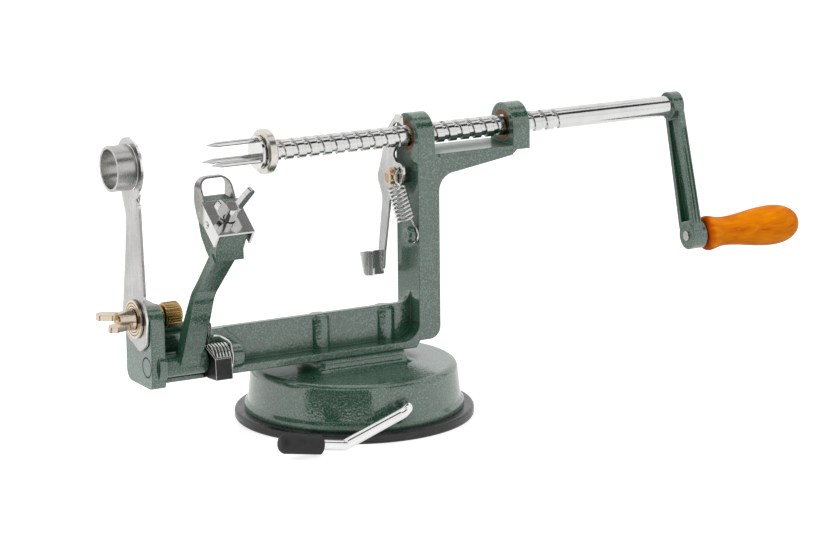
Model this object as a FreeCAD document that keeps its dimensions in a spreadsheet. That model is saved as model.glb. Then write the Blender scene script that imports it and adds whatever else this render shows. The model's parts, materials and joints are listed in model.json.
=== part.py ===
import FreeCAD, Part
import math
import os
import re
import Sketcher

os.makedirs("parts", exist_ok=True)
Vector = FreeCAD.Vector
doc = FreeCAD.newDocument("hand_peeler")

# Frame of the model
# X runs along the shaft, from the slicing blade (minus) to the crank (plus).
# Y runs from the front of the frame (minus) to its back (plus), Z runs up.
# The origin lies on the table, under the middle of the round base.

# Driving sizes, in millimetres and degrees: name, value, meaning
SIZES = [
    # Clearances
    ("run_gap", 0.05, "radial play of a shaft in its bore"),
    ("seat_gap", 0.3, "gap between faces that move past each other"),
    ("fit_gap", 0.02, "radial play of a piece fixed in its hole"),
    # Suction disc
    ("disc_rad", 54.0, "radius of the rubber disc"),
    ("disc_edge", 4.5, "thickness of the disc under the housing"),
    ("disc_thin", 3.1, "thickness of the disc under the plunger"),
    ("disc_round", 1.2, "rounding of the disc's rim"),
    # Base housing
    ("lip_rad", 49.5, "radius of the housing's foot lip"),
    ("lip_high", 2.5, "height of the foot lip"),
    ("foot_rad", 48.0, "radius of the wall above the lip"),
    ("rim_rad", 46.5, "radius of the wall at the top"),
    ("base_top", 24.5, "height of the housing's top face"),
    ("rim_round", 3.0, "rounding of the top rim"),
    ("base_wall", 3.5, "wall of the housing"),
    ("base_ceiling", 4.0, "thickness of the top"),
    ("saddle_front_x", -23.5, "left end of the saddle"),
    ("saddle_rear_x", 20.5, "right end of the saddle"),
    ("saddle_slope", 3.4, "run of the saddle's sloped right end"),
    ("saddle_half", 13.0, "half width of the saddle"),
    ("saddle_high", 4.9, "height of the saddle"),
    ("saddle_corner", 4.0, "rounding of the saddle's corners"),
    ("saddle_foot", 3.4, "fillet at the saddle's foot"),
    ("saddle_edge", 1.1, "rounding of the saddle's top edge"),
    ("well_half_x", 10.5, "half length of the plunger's well"),
    ("well_half_y", 6.5, "half width of the plunger's well"),
    ("well_deep", 4.8, "depth of the well above the ceiling"),
    ("ear_in", 9.0, "inner face of a bearing ear, from the middle"),
    ("ear_thick", 4.0, "thickness of a bearing ear"),
    ("ear_half", 6.0, "half width of a bearing ear"),
    ("ear_low", 10.0, "height of the ears' lower ends"),
    # Suction lever
    ("lever_high", 15.0, "height of the lever's axis"),
    ("rod_rad", 2.5, "radius of the lever's rod"),
    ("rod_back", 13.6, "rear end of the rod"),
    ("rod_front", -55.2, "plane of the lever, in front of the base"),
    ("rod_bend", 6.5, "radius of the rod's bends"),
    ("knee_x", -34.0, "X of the lever's knee"),
    ("knee_z", 3.0, "height of the lever's knee"),
    ("grip_tilt", 9.0, "upward tilt of the lever's end"),
    ("grip_from", 12.0, "distance from the knee to the sleeve"),
    ("grip_long", 20.0, "length of the rubber sleeve"),
    ("grip_rad", 4.4, "radius of the rubber sleeve"),
    ("grip_end", 3.0, "rubber past the rod's end"),
    # Cam and plunger
    ("cam_rad", 5.0, "radius of the cam"),
    ("cam_throw", 1.5, "eccentricity of the cam"),
    ("cam_half", 4.5, "half length of the cam"),
    ("yoke_gap", 0.4, "play of the cam in the yoke, up and down"),
    ("yoke_half_x", 9.0, "half width of the yoke"),
    ("yoke_half_y", 5.0, "half depth of the yoke"),
    ("yoke_bar", 3.0, "height of the yoke's top bar"),
    ("plate_rad", 12.0, "radius of the plunger's plate"),
    ("plate_thick", 2.5, "thickness of the plunger's plate"),
    # Base screws
    ("screw_left_x", -17.1, "X of the left base screw"),
    ("screw_right_x", 15.8, "X of the right base screw"),
    ("screw_rad", 2.5, "radius of a base screw"),
    ("screw_head_rad", 4.5, "radius of its head"),
    ("screw_head_high", 3.0, "height of its head"),
    ("screw_long", 20.5, "length of its shank"),
    ("screw_slot", 1.2, "width of the slot in the head"),
    # Frame casting
    ("cast_half", 10.2, "half width of flange, column and lugs"),
    ("flange_thick", 3.3, "thickness of the beam's flange"),
    ("flange_end_x", 26.8, "right end of the flange's underside"),
    ("web_half", 1.5, "half thickness of the web"),
    ("web_top", 48.7, "height of the web's top edge"),
    ("column_x", 28.5, "left face of the column"),
    ("column_thick", 10.7, "thickness of the column along X"),
    ("column_low", 32.5, "lower end of the column"),
    ("column_corner", 5.5, "rounding of the column's lower corner"),
    ("pocket_round", 8.0, "fillet in the pocket's corner"),
    ("web_rise", 6.0, "fillet between web and column"),
    ("shaft_high", 125.0, "height of the shaft's axis"),
    ("lug_rad", 10.2, "radius of the lugs' round tops"),
    ("front_lug_thick", 8.6, "thickness of the front lug, above the arm between the lugs"),
    ("rear_lug_x", 77.6, "left face of the rear lug"),
    ("rear_lug_thick", 8.6, "thickness of the rear lug"),
    ("bracket_top", 117.2, "top of the arm between the lugs"),
    ("bracket_root_drop", 10.3, "depth of that arm at the column"),
    ("bracket_tip_drop", 4.5, "depth of that arm at the rear lug"),
    ("bracket_round", 8.0, "fillet between that arm and the column"),
    ("rear_lug_drop", 2.2, "depth of the rear lug below the arm's top"),
    ("rim_high", 1.6, "height of the rims along the arm's top edges"),
    ("rim_out", 0.65, "how far those rims stand out"),
    ("boss_rad", 4.5, "radius of the screw bosses on the web"),
    ("boss_top", 48.4, "top of the screw bosses"),
    ("block_x", -107.0, "left face of the end block"),
    ("block_thick", 6.6, "thickness of the end block"),
    ("block_front", -15.6, "front side of the end block"),
    ("block_back", 10.7, "back side of the end block"),
    ("block_top", 64.5, "top of the end block"),
    ("block_round", 5.0, "rounding of its rear corners"),
    ("block_front_round", 8.5, "rounding of its top front corner"),
    ("block_toe", 2.0, "rounding of its lower front corner"),
    ("block_drop", 1.1, "how far it reaches below the flange"),
    ("cheek_back_y", 4.0, "front face of the rear cheek"),
    ("cheek_end_x", -75.0, "right end of the rear cheek"),
    ("cheek_top", 57.0, "top of the rear cheek at the block"),
    ("thick_web_y", -2.7, "front face of the thick part of the web"),
    ("thick_web_x", -56.0, "right end of the thick part of the web"),
    ("thick_web_step", 10.0, "width of its slanted end"),
    ("thick_web_z", 40.0, "lower end of the slant"),
    # Swing arm bearing
    ("swing_y", -10.5, "Y of the swing arm's axis"),
    ("swing_z", 37.5, "height of the swing arm's axis"),
    ("swing_rad", 4.3, "radius of the swing arm's shaft"),
    ("swing_boss_rad", 7.0, "radius of the boss on the end block"),
    ("swing_boss_high", 0.5, "height of that boss"),
    ("swing_lug_x", -67.2, "left face of the bearing lug"),
    ("swing_lug_thick", 5.0, "thickness of the bearing lug"),
    ("swing_lug_rad", 5.3, "radius of the bearing lug"),
    # Bushes and shaft
    ("shaft_rad", 4.75, "radius of the shaft"),
    ("bush_wall", 2.2, "wall of the bronze bushes"),
    ("shaft_front_x", -40.2, "front end of the shaft"),
    ("shaft_rear_x", 171.0, "rear end of the shaft"),
    ("thread_pitch", 6.35, "pitch of the thread, four turns to the inch"),
    ("thread_end_x", 106.7, "rear end of the thread"),
    ("groove_wide", 2.4, "width of the thread's groove"),
    ("groove_deep", 0.9, "depth of the thread's groove"),
    ("runout_wide", 3.6, "width of the run-out groove"),
    ("tip_bore_rad", 3.0, "radius of the bore that holds the fork"),
    ("tip_bore_deep", 10.0, "depth of that bore"),
    # Fork and backing disc
    ("back_disc_rad", 10.0, "radius of the backing disc"),
    ("back_disc_thick", 4.7, "thickness of the backing disc"),
    ("back_disc_edge", 0.8, "chamfer of the backing disc"),
    ("fork_hub_rad", 7.6, "radius of the fork's hub"),
    ("fork_hub_thick", 1.7, "thickness of the fork's hub"),
    ("prong_circle", 5.5, "radius of the circle of prongs"),
    ("prong_rad", 1.2, "radius of a prong"),
    ("prong_long", 24.0, "length of a prong"),
    ("prong_tip", 5.0, "length of a prong's point"),
    # Crank
    ("crank_x", 165.8, "left face of the crank"),
    ("crank_hub_thick", 5.5, "thickness of the crank's hub"),
    ("crank_hub_rad", 6.3, "radius of the crank's hub"),
    ("crank_arm_thick", 4.7, "thickness of the crank's arm"),
    ("crank_arm_half", 6.2, "half width of the crank's arm"),
    ("crank_throw", 61.1, "distance from shaft to handle pin"),
    ("crank_tilt", 17.0, "swing of the crank to the front at rest"),
    ("crank_boss_rad", 6.4, "radius of the boss at the handle"),
    ("crank_boss_thick", 7.3, "thickness of that boss"),
    ("channel_half", 3.9, "half width of the channel in the arm"),
    ("channel_deep", 2.6, "depth of the channel's floor below the face at the boss"),
    ("far_channel_deep", 0.8, "depth of the channel in the far face"),
    ("face_slant", 1.6, "how much further back the near face lies at the hub than at the boss"),
    ("channel_from", 6.8, "start of the channel, from the hub"),
    ("channel_till", 54.4, "end of the channel"),
    # Handle
    ("pin_rad", 2.0, "radius of the handle pin"),
    ("pin_head_rad", 2.3, "radius of the pin's near head"),
    ("pin_head_high", 0.8, "height of that head"),
    ("pin_collar_rad", 4.0, "radius of the pin's collar"),
    ("pin_collar_thick", 0.8, "thickness of the pin's collar"),
    ("pin_end_rad", 3.4, "radius of the pin's far head"),
    ("pin_end_high", 1.4, "height of the far head"),
    ("grip_flange_rad", 7.85, "radius of the handle's flange"),
    ("grip_neck_rad", 6.8, "radius of the handle's neck"),
    ("grip_belly_rad", 9.3, "radius of the handle's belly"),
    ("grip_tip_rad", 5.4, "radius of the handle's flat end"),
    ("handle_long", 50.0, "length of the handle"),
    ("neck_at", 13.5, "distance of the neck from the near end"),
    ("belly_at", 38.8, "distance of the belly from the near end"),
    ("handle_sink_deep", 2.6, "depth of the sink for the far head"),
    # Release lever
    ("release_x", 23.9, "left face of the release lever"),
    ("release_thick", 1.2, "thickness of the release lever"),
    ("release_y", 4.0, "Y of its pivot"),
    ("release_z", 106.0, "height of its pivot"),
    ("release_arc", 6.4, "radius of its arc round the shaft"),
    ("tooth_play", 0.25, "play between tooth and groove floor"),
    ("tooth_span", 20.0, "half angle of the tooth"),
    ("pivot_rad", 2.0, "radius of the pivot screw in the lever"),
    ("pivot_collar_rad", 3.6, "radius of the pivot's collar"),
    ("pivot_root_rad", 2.6, "radius of the pivot in the column"),
    ("pivot_root_deep", 7.0, "depth of the pivot in the column"),
    ("nut_rad", 3.7, "radius of the domed nut"),
    ("nut_high", 3.2, "height of the domed nut"),
    ("nut_flange_rad", 4.3, "radius of its flange"),
    ("nut_flange_thick", 0.8, "thickness of its flange"),
    ("tab_y", 17.0, "front face of the thumb tab"),
    ("tab_x", 13.4, "left end of the thumb tab"),
    ("tab_low", 58.5, "lower end of the thumb tab"),
    ("tab_top", 69.8, "upper end of the thumb tab"),
    ("tab_slant", 1.6, "how far the tab narrows to its lower end"),
    ("tab_ridge", 1.3, "height of the ridge in the thumb tab"),
    ("ear_y", -1.2, "Y of the spring's hole in the lever"),
    ("ear_z", 109.8, "height of the spring's hole"),
    ("ear_hole_rad", 1.4, "radius of the spring's hole"),
    # Release spring and its stud
    ("stud_y", -7.4, "Y of the spring's stud"),
    ("stud_z", 81.2, "height of the spring's stud"),
    ("stud_rad", 2.9, "radius of the stud's neck"),
    ("stud_head_rad", 3.8, "radius of the stud's head"),
    ("stud_long", 5.2, "length of the stud"),
    ("stud_root_rad", 1.9, "radius of the stud in the column"),
    ("stud_root_deep", 6.0, "depth of the stud in the column"),
    ("coil_wire", 1.0, "wire of the release spring"),
    ("coil_rad", 3.8, "mean radius of its coil"),
    ("coil_turns", 8.5, "turns of its coil"),
    ("coil_top_x", 18.9, "X of the coil's top"),
    ("coil_top_y", -7.4, "Y of the coil's top"),
    ("coil_top_z", 103.6, "height of the coil's top"),
    ("coil_low_x", 23.0, "X of the coil's lower end"),
    ("coil_low_y", -8.2, "Y of the coil's lower end"),
    ("coil_low_z", 88.4, "height of the coil's lower end"),
    # Swing arm
    ("arm_hub_rad", 5.6, "radius of the swing arm's hub"),
    ("arm_hub_end_x", -79.8, "right end of the hub"),
    ("arm_x", -93.5, "left side of the swing arm's bar"),
    ("arm_wide", 9.6, "width of the bar"),
    ("arm_rib_wide", 3.0, "width of the rib behind the bar"),
    ("head_half", 6.5, "half width of the arm's head"),
    ("head_mid_x", -86.4, "middle of the head along X"),
    # Peeling head, set square to the slanted seat on the arm's head
    ("seat_y", -51.5, "Y of the seat's middle"),
    ("seat_z", 109.1, "height of the seat's middle"),
    ("seat_tilt", 36.5, "slope of the seat"),
    ("seat_half", 9.6, "half length of the seat"),
    ("nose_long", 17.6, "reach of the head's nose from the seat's middle"),
    ("holder_thick", 1.0, "sheet of the blade holder"),
    ("holder_deep", 6.4, "depth of the holder's cheeks"),
    ("slot_play", 1.6, "travel of the holder each way"),
    ("blade_thick", 0.8, "thickness of the peeling blade"),
    ("blade_top", 125.4, "top of the peeling blade's arch"),
    ("blade_round", 4.8, "corner radius of the arch"),
    ("rivet_rad", 1.1, "radius of the holder's rivets"),
    ("rivet_head_rad", 1.7, "radius of the rivets' heads"),
    ("wing_screw_rad", 2.0, "radius of the wing screw"),
    ("wing_screw_deep", 8.0, "length of its thread in the head"),
    ("wing_hub_rad", 3.6, "radius of its hub"),
    ("wing_hub_high", 6.5, "height of its hub"),
    ("wing_reach", 11.0, "reach of its wings"),
    ("wing_high", 14.5, "height of its wings"),
    ("wing_thick", 2.4, "thickness of its wings"),
    ("wing_turn", 19.0, "turn of the wing screw as it is set"),
    # Arm spring and latch
    ("latch_x", -79.4, "left face of the latch"),
    ("latch_thick", 1.2, "sheet of the latch"),
    ("latch_top_y", -21.6, "Y of its tab's upper corner"),
    ("latch_top_z", 40.0, "height of that corner"),
    ("latch_low_y", -22.7, "Y of its tab's lower corner"),
    ("latch_low_z", 30.6, "height of that corner"),
    ("latch_tab_long", 8.0, "length of its tab along X"),
    ("twist_wire", 1.0, "wire of the arm's spring"),
    ("twist_rad", 6.4, "mean radius of its coil"),
    ("twist_turns", 6.0, "turns of its coil"),
    ("twist_x", -68.3, "right end of its coil"),
    ("twist_pitch", 1.52, "pitch of its coil"),
    # Slicing blade and its clamp
    ("bolt_y", -3.0, "Y of the slicing blade's bolt"),
    ("bolt_z", 58.0, "height of the bolt"),
    ("bolt_rad", 2.5, "radius of the bolt"),
    ("bolt_boss_rad", 5.5, "radius of the boss behind the block"),
    ("bolt_boss_high", 2.5, "height of that boss"),
    ("bolt_head_rad", 5.3, "radius of the bolt's knurled head"),
    ("bolt_head_long", 10.5, "length of that head"),
    ("bolt_neck_rad", 4.0, "radius of the neck under that head"),
    ("bolt_neck_long", 1.5, "length of that neck"),
    ("bolt_tail_x", -117.5, "left end of the bolt"),
    ("slicer_thick", 1.2, "thickness of the slicing blade"),
    ("slicer_bend", 14.0, "angle of its bent edge"),
    ("ring_rad", 10.0, "outer radius of the coring ring"),
    ("ring_wall", 1.3, "wall of the coring ring"),
    ("ring_long", 10.5, "length of the coring ring"),
    ("ring_land", 3.0, "sheet round the coring ring"),
    ("washer_rad", 8.6, "radius of the washer"),
    ("washer_thick", 1.0, "thickness of the washer"),
    ("nut_hub_rad", 3.9, "radius of the wing nut's hub"),
    ("nut_hub_long", 6.9, "length of the wing nut's hub"),
    ("nut_wing_reach", 8.7, "reach of the nut's wings"),
    ("nut_wing_flare", 14.5, "flare of the nut's wings past its seat"),
    ("nut_wing_thick", 2.6, "thickness of the nut's wings"),
    ("nut_turn", 12.0, "turn of the wing nut as it is set"),
]

sheet = doc.addObject("Spreadsheet::Sheet", "Sizes")
for row, (alias, value, meaning) in enumerate(SIZES, 1):
    sheet.set("A%d" % row, alias)
    sheet.set("B%d" % row, str(value))
    sheet.set("C%d" % row, meaning)
    sheet.setAlias("B%d" % row, alias)
doc.recompute()
ALIASES = {alias for alias, value, meaning in SIZES}


# Expressions over the sheet

def named(text):
    """The expression with each size's name turned into a reference to the sheet."""
    return re.sub(r"[a-z][a-z_]*", lambda word: ("Sizes." if word.group(0) in ALIASES else "") + word.group(0), str(text))


def num(text):
    """The value of an expression in the sheet's names."""
    return float(sheet.evalExpression(named(text)))


def point(x, y, z):
    return Vector(num(x), num(y), num(z))


# Sketches and features of bodies

def new_body(label):
    body = doc.addObject("PartDesign::Body", label)
    body.Label = label
    return body


def put(obj, x, y, z):
    """Ties the place of an object to sizes in the sheet."""
    obj.setExpression("Placement.Base.x", named(x))
    obj.setExpression("Placement.Base.y", named(y))
    obj.setExpression("Placement.Base.z", named(z))


def sketch_on(body, name, plane, offset="0"):
    """A sketch on one of the body's origin planes, moved along the plane's normal."""
    sketch = body.newObject("Sketcher::SketchObject", name)
    origin = [f for f in body.Origin.OriginFeatures if f.Role == plane + "_Plane"][0]
    sketch.AttachmentSupport = [(origin, "")]
    sketch.MapMode = "FlatFace"
    sketch.setExpression("AttachmentOffset.Base.z", named(offset))
    return sketch


def place(sketch, geometry, which, x, y):
    """Holds one point of a sketch at coordinates given as expressions."""
    for kind, text in (("DistanceX", x), ("DistanceY", y)):
        index = sketch.addConstraint(Sketcher.Constraint(kind, geometry, which, num(text)))
        sketch.setExpression("Constraints[%d]" % index, named(text))


def outline(sketch, corners):
    """A closed outline of straight lines through the corners."""
    first = sketch.GeometryCount
    count = len(corners)
    spots = [Vector(num(x), num(y), 0) for x, y in corners]
    for i in range(count):
        sketch.addGeometry(Part.LineSegment(spots[i], spots[(i + 1) % count]), False)
    for i in range(count):
        sketch.addConstraint(Sketcher.Constraint("Coincident", first + i, 2, first + (i + 1) % count, 1))
    for i, (x, y) in enumerate(corners):
        place(sketch, first + i, 1, x, y)


def circle(sketch, x, y, radius):
    index = sketch.addGeometry(Part.Circle(Vector(num(x), num(y), 0), Vector(0, 0, 1), num(radius)), False)
    place(sketch, index, 3, x, y)
    held = sketch.addConstraint(Sketcher.Constraint("Radius", index, num(radius)))
    sketch.setExpression("Constraints[%d]" % held, named(radius))


def pad(body, sketch, length, both_ways=False, turned_round=False):
    feature = body.newObject("PartDesign::Pad", sketch.Name + "_pad")
    feature.Profile = sketch
    feature.setExpression("Length", named(length))
    feature.Midplane = both_ways
    feature.Reversed = turned_round
    doc.recompute()
    return feature


def pocket(body, sketch, length=None, both_ways=False, turned_round=False):
    """A pocket of the given depth, or through everything; it must take material away."""
    before = body.Shape.Volume
    feature = body.newObject("PartDesign::Pocket", sketch.Name + "_pocket")
    feature.Profile = sketch
    feature.Type = "ThroughAll" if length is None else "Length"
    if length is not None:
        feature.setExpression("Length", named(length))
    feature.Midplane = both_ways
    feature.Reversed = turned_round
    doc.recompute()
    if body.Shape.Volume > before - 1e-6:
        raise ValueError("pocket %s cuts nothing" % feature.Name)
    return feature


def revolve(body, sketch, cut=False):
    """A full turn of a sketch about its upright axis."""
    feature = body.newObject("PartDesign::Groove" if cut else "PartDesign::Revolution", sketch.Name + "_turn")
    feature.Profile = sketch
    feature.ReferenceAxis = (sketch, ["V_Axis"])
    feature.Angle = 360
    doc.recompute()
    return feature


def soften(body, radius, spots, chamfer=False):
    """A fillet or chamfer on the edges whose middles lie nearest to the given spots."""
    base = body.Tip
    names = []
    for x, y, z in spots:
        spot = point(x, y, z)
        edges = base.Shape.Edges
        best = min(range(len(edges)), key=lambda i: middle(edges[i]).distanceToPoint(spot))
        if "Edge%d" % (best + 1) not in names:
            names.append("Edge%d" % (best + 1))
    feature = body.newObject("PartDesign::Chamfer" if chamfer else "PartDesign::Fillet", body.Name + "_edge")
    feature.Base = (base, names)
    feature.setExpression("Size" if chamfer else "Radius", named(radius))
    doc.recompute()
    return feature


def middle(edge):
    return edge.valueAt((edge.FirstParameter + edge.LastParameter) / 2)


def turned(label, profile, axis="X", at=("0", "0", "0")):
    """A turned piece: its profile is (distance along the axis, radius) from its own zero."""
    body = new_body(label)
    sketch = sketch_on(body, label + "_profile", "XZ")
    outline(sketch, [(radius, along) for along, radius in profile])
    revolve(body, sketch)
    if axis == "X":
        body.Placement = FreeCAD.Placement(Vector(), FreeCAD.Rotation(Vector(0, 1, 0), 90))
    put(body, *at)
    return body


# Shapes made from the sheet's values

def own_shape(label, shape, placement=None):
    """A piece whose shape is made here from the sheet's values."""
    solid = doc.addObject("Part::Feature", label)
    solid.Label = label
    solid.Shape = shape
    if placement is not None:
        solid.Placement = placement
    return solid


def rounded_face(corners):
    """A flat face in the XY plane through corners (x, y, radius) joined by tangent arcs."""
    edges = []
    count = len(corners)
    spots = [Vector(x, y, 0) for x, y, radius in corners]
    entries = []
    for i, (x, y, radius) in enumerate(corners):
        here = spots[i]
        back = (spots[i - 1] - here).normalize()
        ahead = (spots[(i + 1) % count] - here).normalize()
        half = back.getAngle(ahead) / 2
        room = 0.48 * min(here.distanceToPoint(spots[i - 1]), here.distanceToPoint(spots[(i + 1) % count]))
        reach = min(radius / math.tan(half), room)
        radius = reach * math.tan(half)
        bisector = back + ahead
        if reach > 0:
            center = here + bisector.normalize() * (radius / math.sin(half))
            entries.append((here + back * reach, center + (here - center).normalize() * radius, here + ahead * reach))
        else:
            entries.append((here, None, here))
    for i in range(count):
        start, mid, end = entries[i]
        if mid is not None:
            edges.append(Part.Arc(start, mid, end).toShape())
        following = entries[(i + 1) % count][0]
        if end.distanceToPoint(following) > 1e-6:
            edges.append(Part.makeLine(end, following))
    return Part.Face(Part.Wire(Part.__sortEdges__(edges)))


# Turns a face drawn in (y, z) into one that stands square to X
UPRIGHT = FreeCAD.Placement(Vector(), FreeCAD.Rotation(Vector(1, 1, 1), 120))


def sheet_across(corners, x_from, thickness):
    """A flat sheet square to X, through corners (y, z, radius)."""
    face = rounded_face(corners)
    face.Placement = UPRIGHT
    solid = face.extrude(Vector(thickness, 0, 0))
    solid.translate(Vector(x_from, 0, 0))
    return solid


def rod_x(x_from, x_to, y, z, radius):
    return Part.makeCylinder(radius, x_to - x_from, Vector(x_from, y, z), Vector(1, 0, 0))


def biarc(start, along_start, end, along_end):
    """Two tangent arcs from one point and direction to another."""
    chord = end - start
    both = along_start + along_end
    spread = 2 * (1 - along_start.dot(along_end))
    reach = chord.dot(both)
    if spread < 1e-9:
        handle = chord.dot(chord) / (2 * reach)
    else:
        handle = (-reach + math.sqrt(reach * reach + spread * chord.dot(chord))) / spread
    first = start + along_start * handle
    second = end - along_end * handle
    join = (first + second) * 0.5
    return [one_arc(start, first, join), one_arc(join, second, end)]


def one_arc(start, corner, end):
    """An arc that touches two lines which meet in a corner at equal distances."""
    halfway = (start + end) * 0.5
    rise = corner.distanceToPoint(halfway)
    if rise < 1e-6:
        return Part.makeLine(start, end)
    cosine = start.distanceToPoint(halfway) / start.distanceToPoint(corner)
    return Part.Arc(start, halfway + (corner - halfway) * (cosine / (1 + cosine)), end).toShape()


def wire_solid(stations, radius):
    """A round wire along stations of (point, direction), as one unbroken tube."""
    edges = []
    for (start, along_start), (end, along_end) in zip(stations, stations[1:]):
        edges += biarc(start, along_start, end, along_end)
    path = Part.Wire(edges)
    section = Part.Wire([Part.makeCircle(radius, stations[0][0], stations[0][1])])
    tube = Part.BRepOffsetAPI.MakePipeShell(path)
    tube.add(section, False, False)
    tube.build()
    tube.makeSolid()
    return tube.shape(), path


def turn_round(placement, radius, angle, height, pitch):
    """A point and direction on a coil about the local Z axis of a placement."""
    spot = Vector(radius * math.cos(angle), radius * math.sin(angle), height)
    way = Vector(-radius * math.sin(angle), radius * math.cos(angle), pitch / (2 * math.pi)).normalize()
    return placement.multVec(spot), placement.Rotation.multVec(way)


def least_gap(path, wire, skip):
    """The least gap of a wire to itself, measured between points along its path."""
    step = wire / 3
    count = int(path.Length / step)
    spots = path.discretize(Number=count)
    away = int(skip / step)
    gap = 1e9
    for i in range(count):
        for j in range(i + away, count):
            gap = min(gap, spots[i].distanceToPoint(spots[j]) - wire)
    return gap


# Base housing: turned shell with a saddle on top, a well and two ears inside
housing = new_body("base_housing")
profile = sketch_on(housing, "housing_profile", "XZ")
outline(profile, [
    ("0", "disc_edge"),
    ("lip_rad", "disc_edge"),
    ("lip_rad", "disc_edge + lip_high"),
    ("foot_rad", "disc_edge + lip_high + lip_rad - foot_rad"),
    ("rim_rad", "base_top"),
    ("0", "base_top"),
])
revolve(housing, profile)
soften(housing, "rim_round", [("-rim_rad", "0", "base_top")])
saddle = sketch_on(housing, "saddle", "XZ")
outline(saddle, [
    ("saddle_front_x", "base_top - 1"),
    ("saddle_rear_x + saddle_slope", "base_top - 1"),
    ("saddle_rear_x", "base_top + saddle_high"),
    ("saddle_front_x", "base_top + saddle_high"),
])
pad(housing, saddle, "2 * saddle_half", both_ways=True)
SADDLE_MID = "base_top + saddle_high / 2"
soften(housing, "saddle_corner", [
    ("saddle_front_x", "-saddle_half", SADDLE_MID),
    ("saddle_front_x", "saddle_half", SADDLE_MID),
    ("saddle_rear_x + saddle_slope / 2", "-saddle_half", SADDLE_MID),
    ("saddle_rear_x + saddle_slope / 2", "saddle_half", SADDLE_MID),
])
SADDLE_CENTRE = "(saddle_front_x + saddle_rear_x) / 2"
soften(housing, "saddle_foot", [(SADDLE_CENTRE, "-saddle_half", "base_top")])
soften(housing, "saddle_edge", [(SADDLE_CENTRE, "-saddle_half", "base_top + saddle_high")])
cavity = sketch_on(housing, "cavity", "XY", "disc_edge")
circle(cavity, "0", "0", "rim_rad - base_wall")
pocket(housing, cavity, "base_top - base_ceiling - disc_edge", turned_round=True)
well = sketch_on(housing, "well", "XY", "base_top - base_ceiling - 1")
outline(well, [
    ("-well_half_x", "-well_half_y"),
    ("well_half_x", "-well_half_y"),
    ("well_half_x", "well_half_y"),
    ("-well_half_x", "well_half_y"),
])
pocket(housing, well, "well_deep + 1", turned_round=True)
for side, name in ((1, "back_ear"), (-1, "front_ear")):
    ear = sketch_on(housing, name, "XY", "ear_low")
    outline(ear, [
        ("-ear_half", "%d * ear_in" % side),
        ("ear_half", "%d * ear_in" % side),
        ("ear_half", "%d * (ear_in + ear_thick)" % side),
        ("-ear_half", "%d * (ear_in + ear_thick)" % side),
    ])
    pad(housing, ear, "base_top - base_ceiling / 2 - ear_low")
bore = sketch_on(housing, "lever_bore", "XZ", "-(ear_in + ear_thick + 1)")
circle(bore, "0", "lever_high", "rod_rad + run_gap")
pocket(housing, bore, turned_round=True)
for name in ("screw_left_x", "screw_right_x"):
    hole = sketch_on(housing, name + "_hole", "XY")
    circle(hole, name, "0", "screw_rad + seat_gap")
    pocket(housing, hole, turned_round=True)

# Suction disc: flat rubber disc with a recess for the plunger
disc = new_body("suction_disc")
profile = sketch_on(disc, "disc_profile", "XZ")
outline(profile, [
    ("0", "0"),
    ("disc_rad", "0"),
    ("disc_rad", "disc_edge"),
    ("plate_rad + seat_gap", "disc_edge"),
    ("plate_rad + seat_gap", "disc_thin"),
    ("0", "disc_thin"),
])
revolve(disc, profile)
soften(disc, "disc_round", [("-disc_rad", "0", "0"), ("-disc_rad", "0", "disc_edge")])

# Plunger: round plate with a yoke that the cam turns in
PLATE_LOW = "disc_thin + seat_gap"
SLOT_LOW = "lever_high - cam_throw - cam_rad - yoke_gap"
SLOT_TOP = "lever_high - cam_throw + cam_rad + yoke_gap"
plunger = new_body("plunger")
plate = sketch_on(plunger, "plunger_plate", "XY", PLATE_LOW)
circle(plate, "0", "0", "plate_rad")
pad(plunger, plate, "plate_thick")
yoke = sketch_on(plunger, "yoke", "XZ")
outline(yoke, [
    ("-yoke_half_x", PLATE_LOW + " + plate_thick / 2"),
    ("yoke_half_x", PLATE_LOW + " + plate_thick / 2"),
    ("yoke_half_x", SLOT_TOP + " + yoke_bar"),
    ("-yoke_half_x", SLOT_TOP + " + yoke_bar"),
])
pad(plunger, yoke, "2 * yoke_half_y", both_ways=True)
slot = sketch_on(plunger, "yoke_slot", "XZ")
outline(slot, [
    ("-(cam_rad + cam_throw + seat_gap)", SLOT_LOW),
    ("cam_rad + cam_throw + seat_gap", SLOT_LOW),
    ("cam_rad + cam_throw + seat_gap", SLOT_TOP),
    ("-(cam_rad + cam_throw + seat_gap)", SLOT_TOP),
])
pocket(plunger, slot, both_ways=True)

# Cam: eccentric disc on the lever's rod, low at rest
cam = new_body("lever_cam")
rim = sketch_on(cam, "cam_rim", "XZ")
circle(rim, "0", "lever_high - cam_throw", "cam_rad")
pad(cam, rim, "2 * cam_half", both_ways=True)
bore = sketch_on(cam, "cam_bore", "XZ")
circle(bore, "0", "lever_high", "rod_rad + fit_gap")
pocket(cam, bore, both_ways=True)

# Suction lever: round rod with two bends, through the ears and the cam
knee = point("knee_x", "rod_front", "knee_z")
end_way = Vector(-math.cos(math.radians(num("grip_tilt"))), 0, math.sin(math.radians(num("grip_tilt"))))
rod_end = knee + end_way * (num("grip_from + grip_long - grip_end"))
back_end = point("0", "rod_back", "lever_high")
corner = point("0", "rod_front", "lever_high")
down_way = (knee - corner).normalize()
stations = [(back_end, Vector(0, -1, 0))]
for turn, way_in, way_out in ((corner, Vector(0, -1, 0), down_way), (knee, down_way, end_way)):
    reach = num("rod_bend") * math.tan(way_in.getAngle(way_out) / 2)
    stations.append((turn - way_in * reach, way_in))
    stations.append((turn + way_out * reach, way_out))
stations.append((rod_end, end_way))
lever_shape, lever_path = wire_solid(stations, num("rod_rad"))
own_shape("suction_lever", lever_shape)

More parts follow.
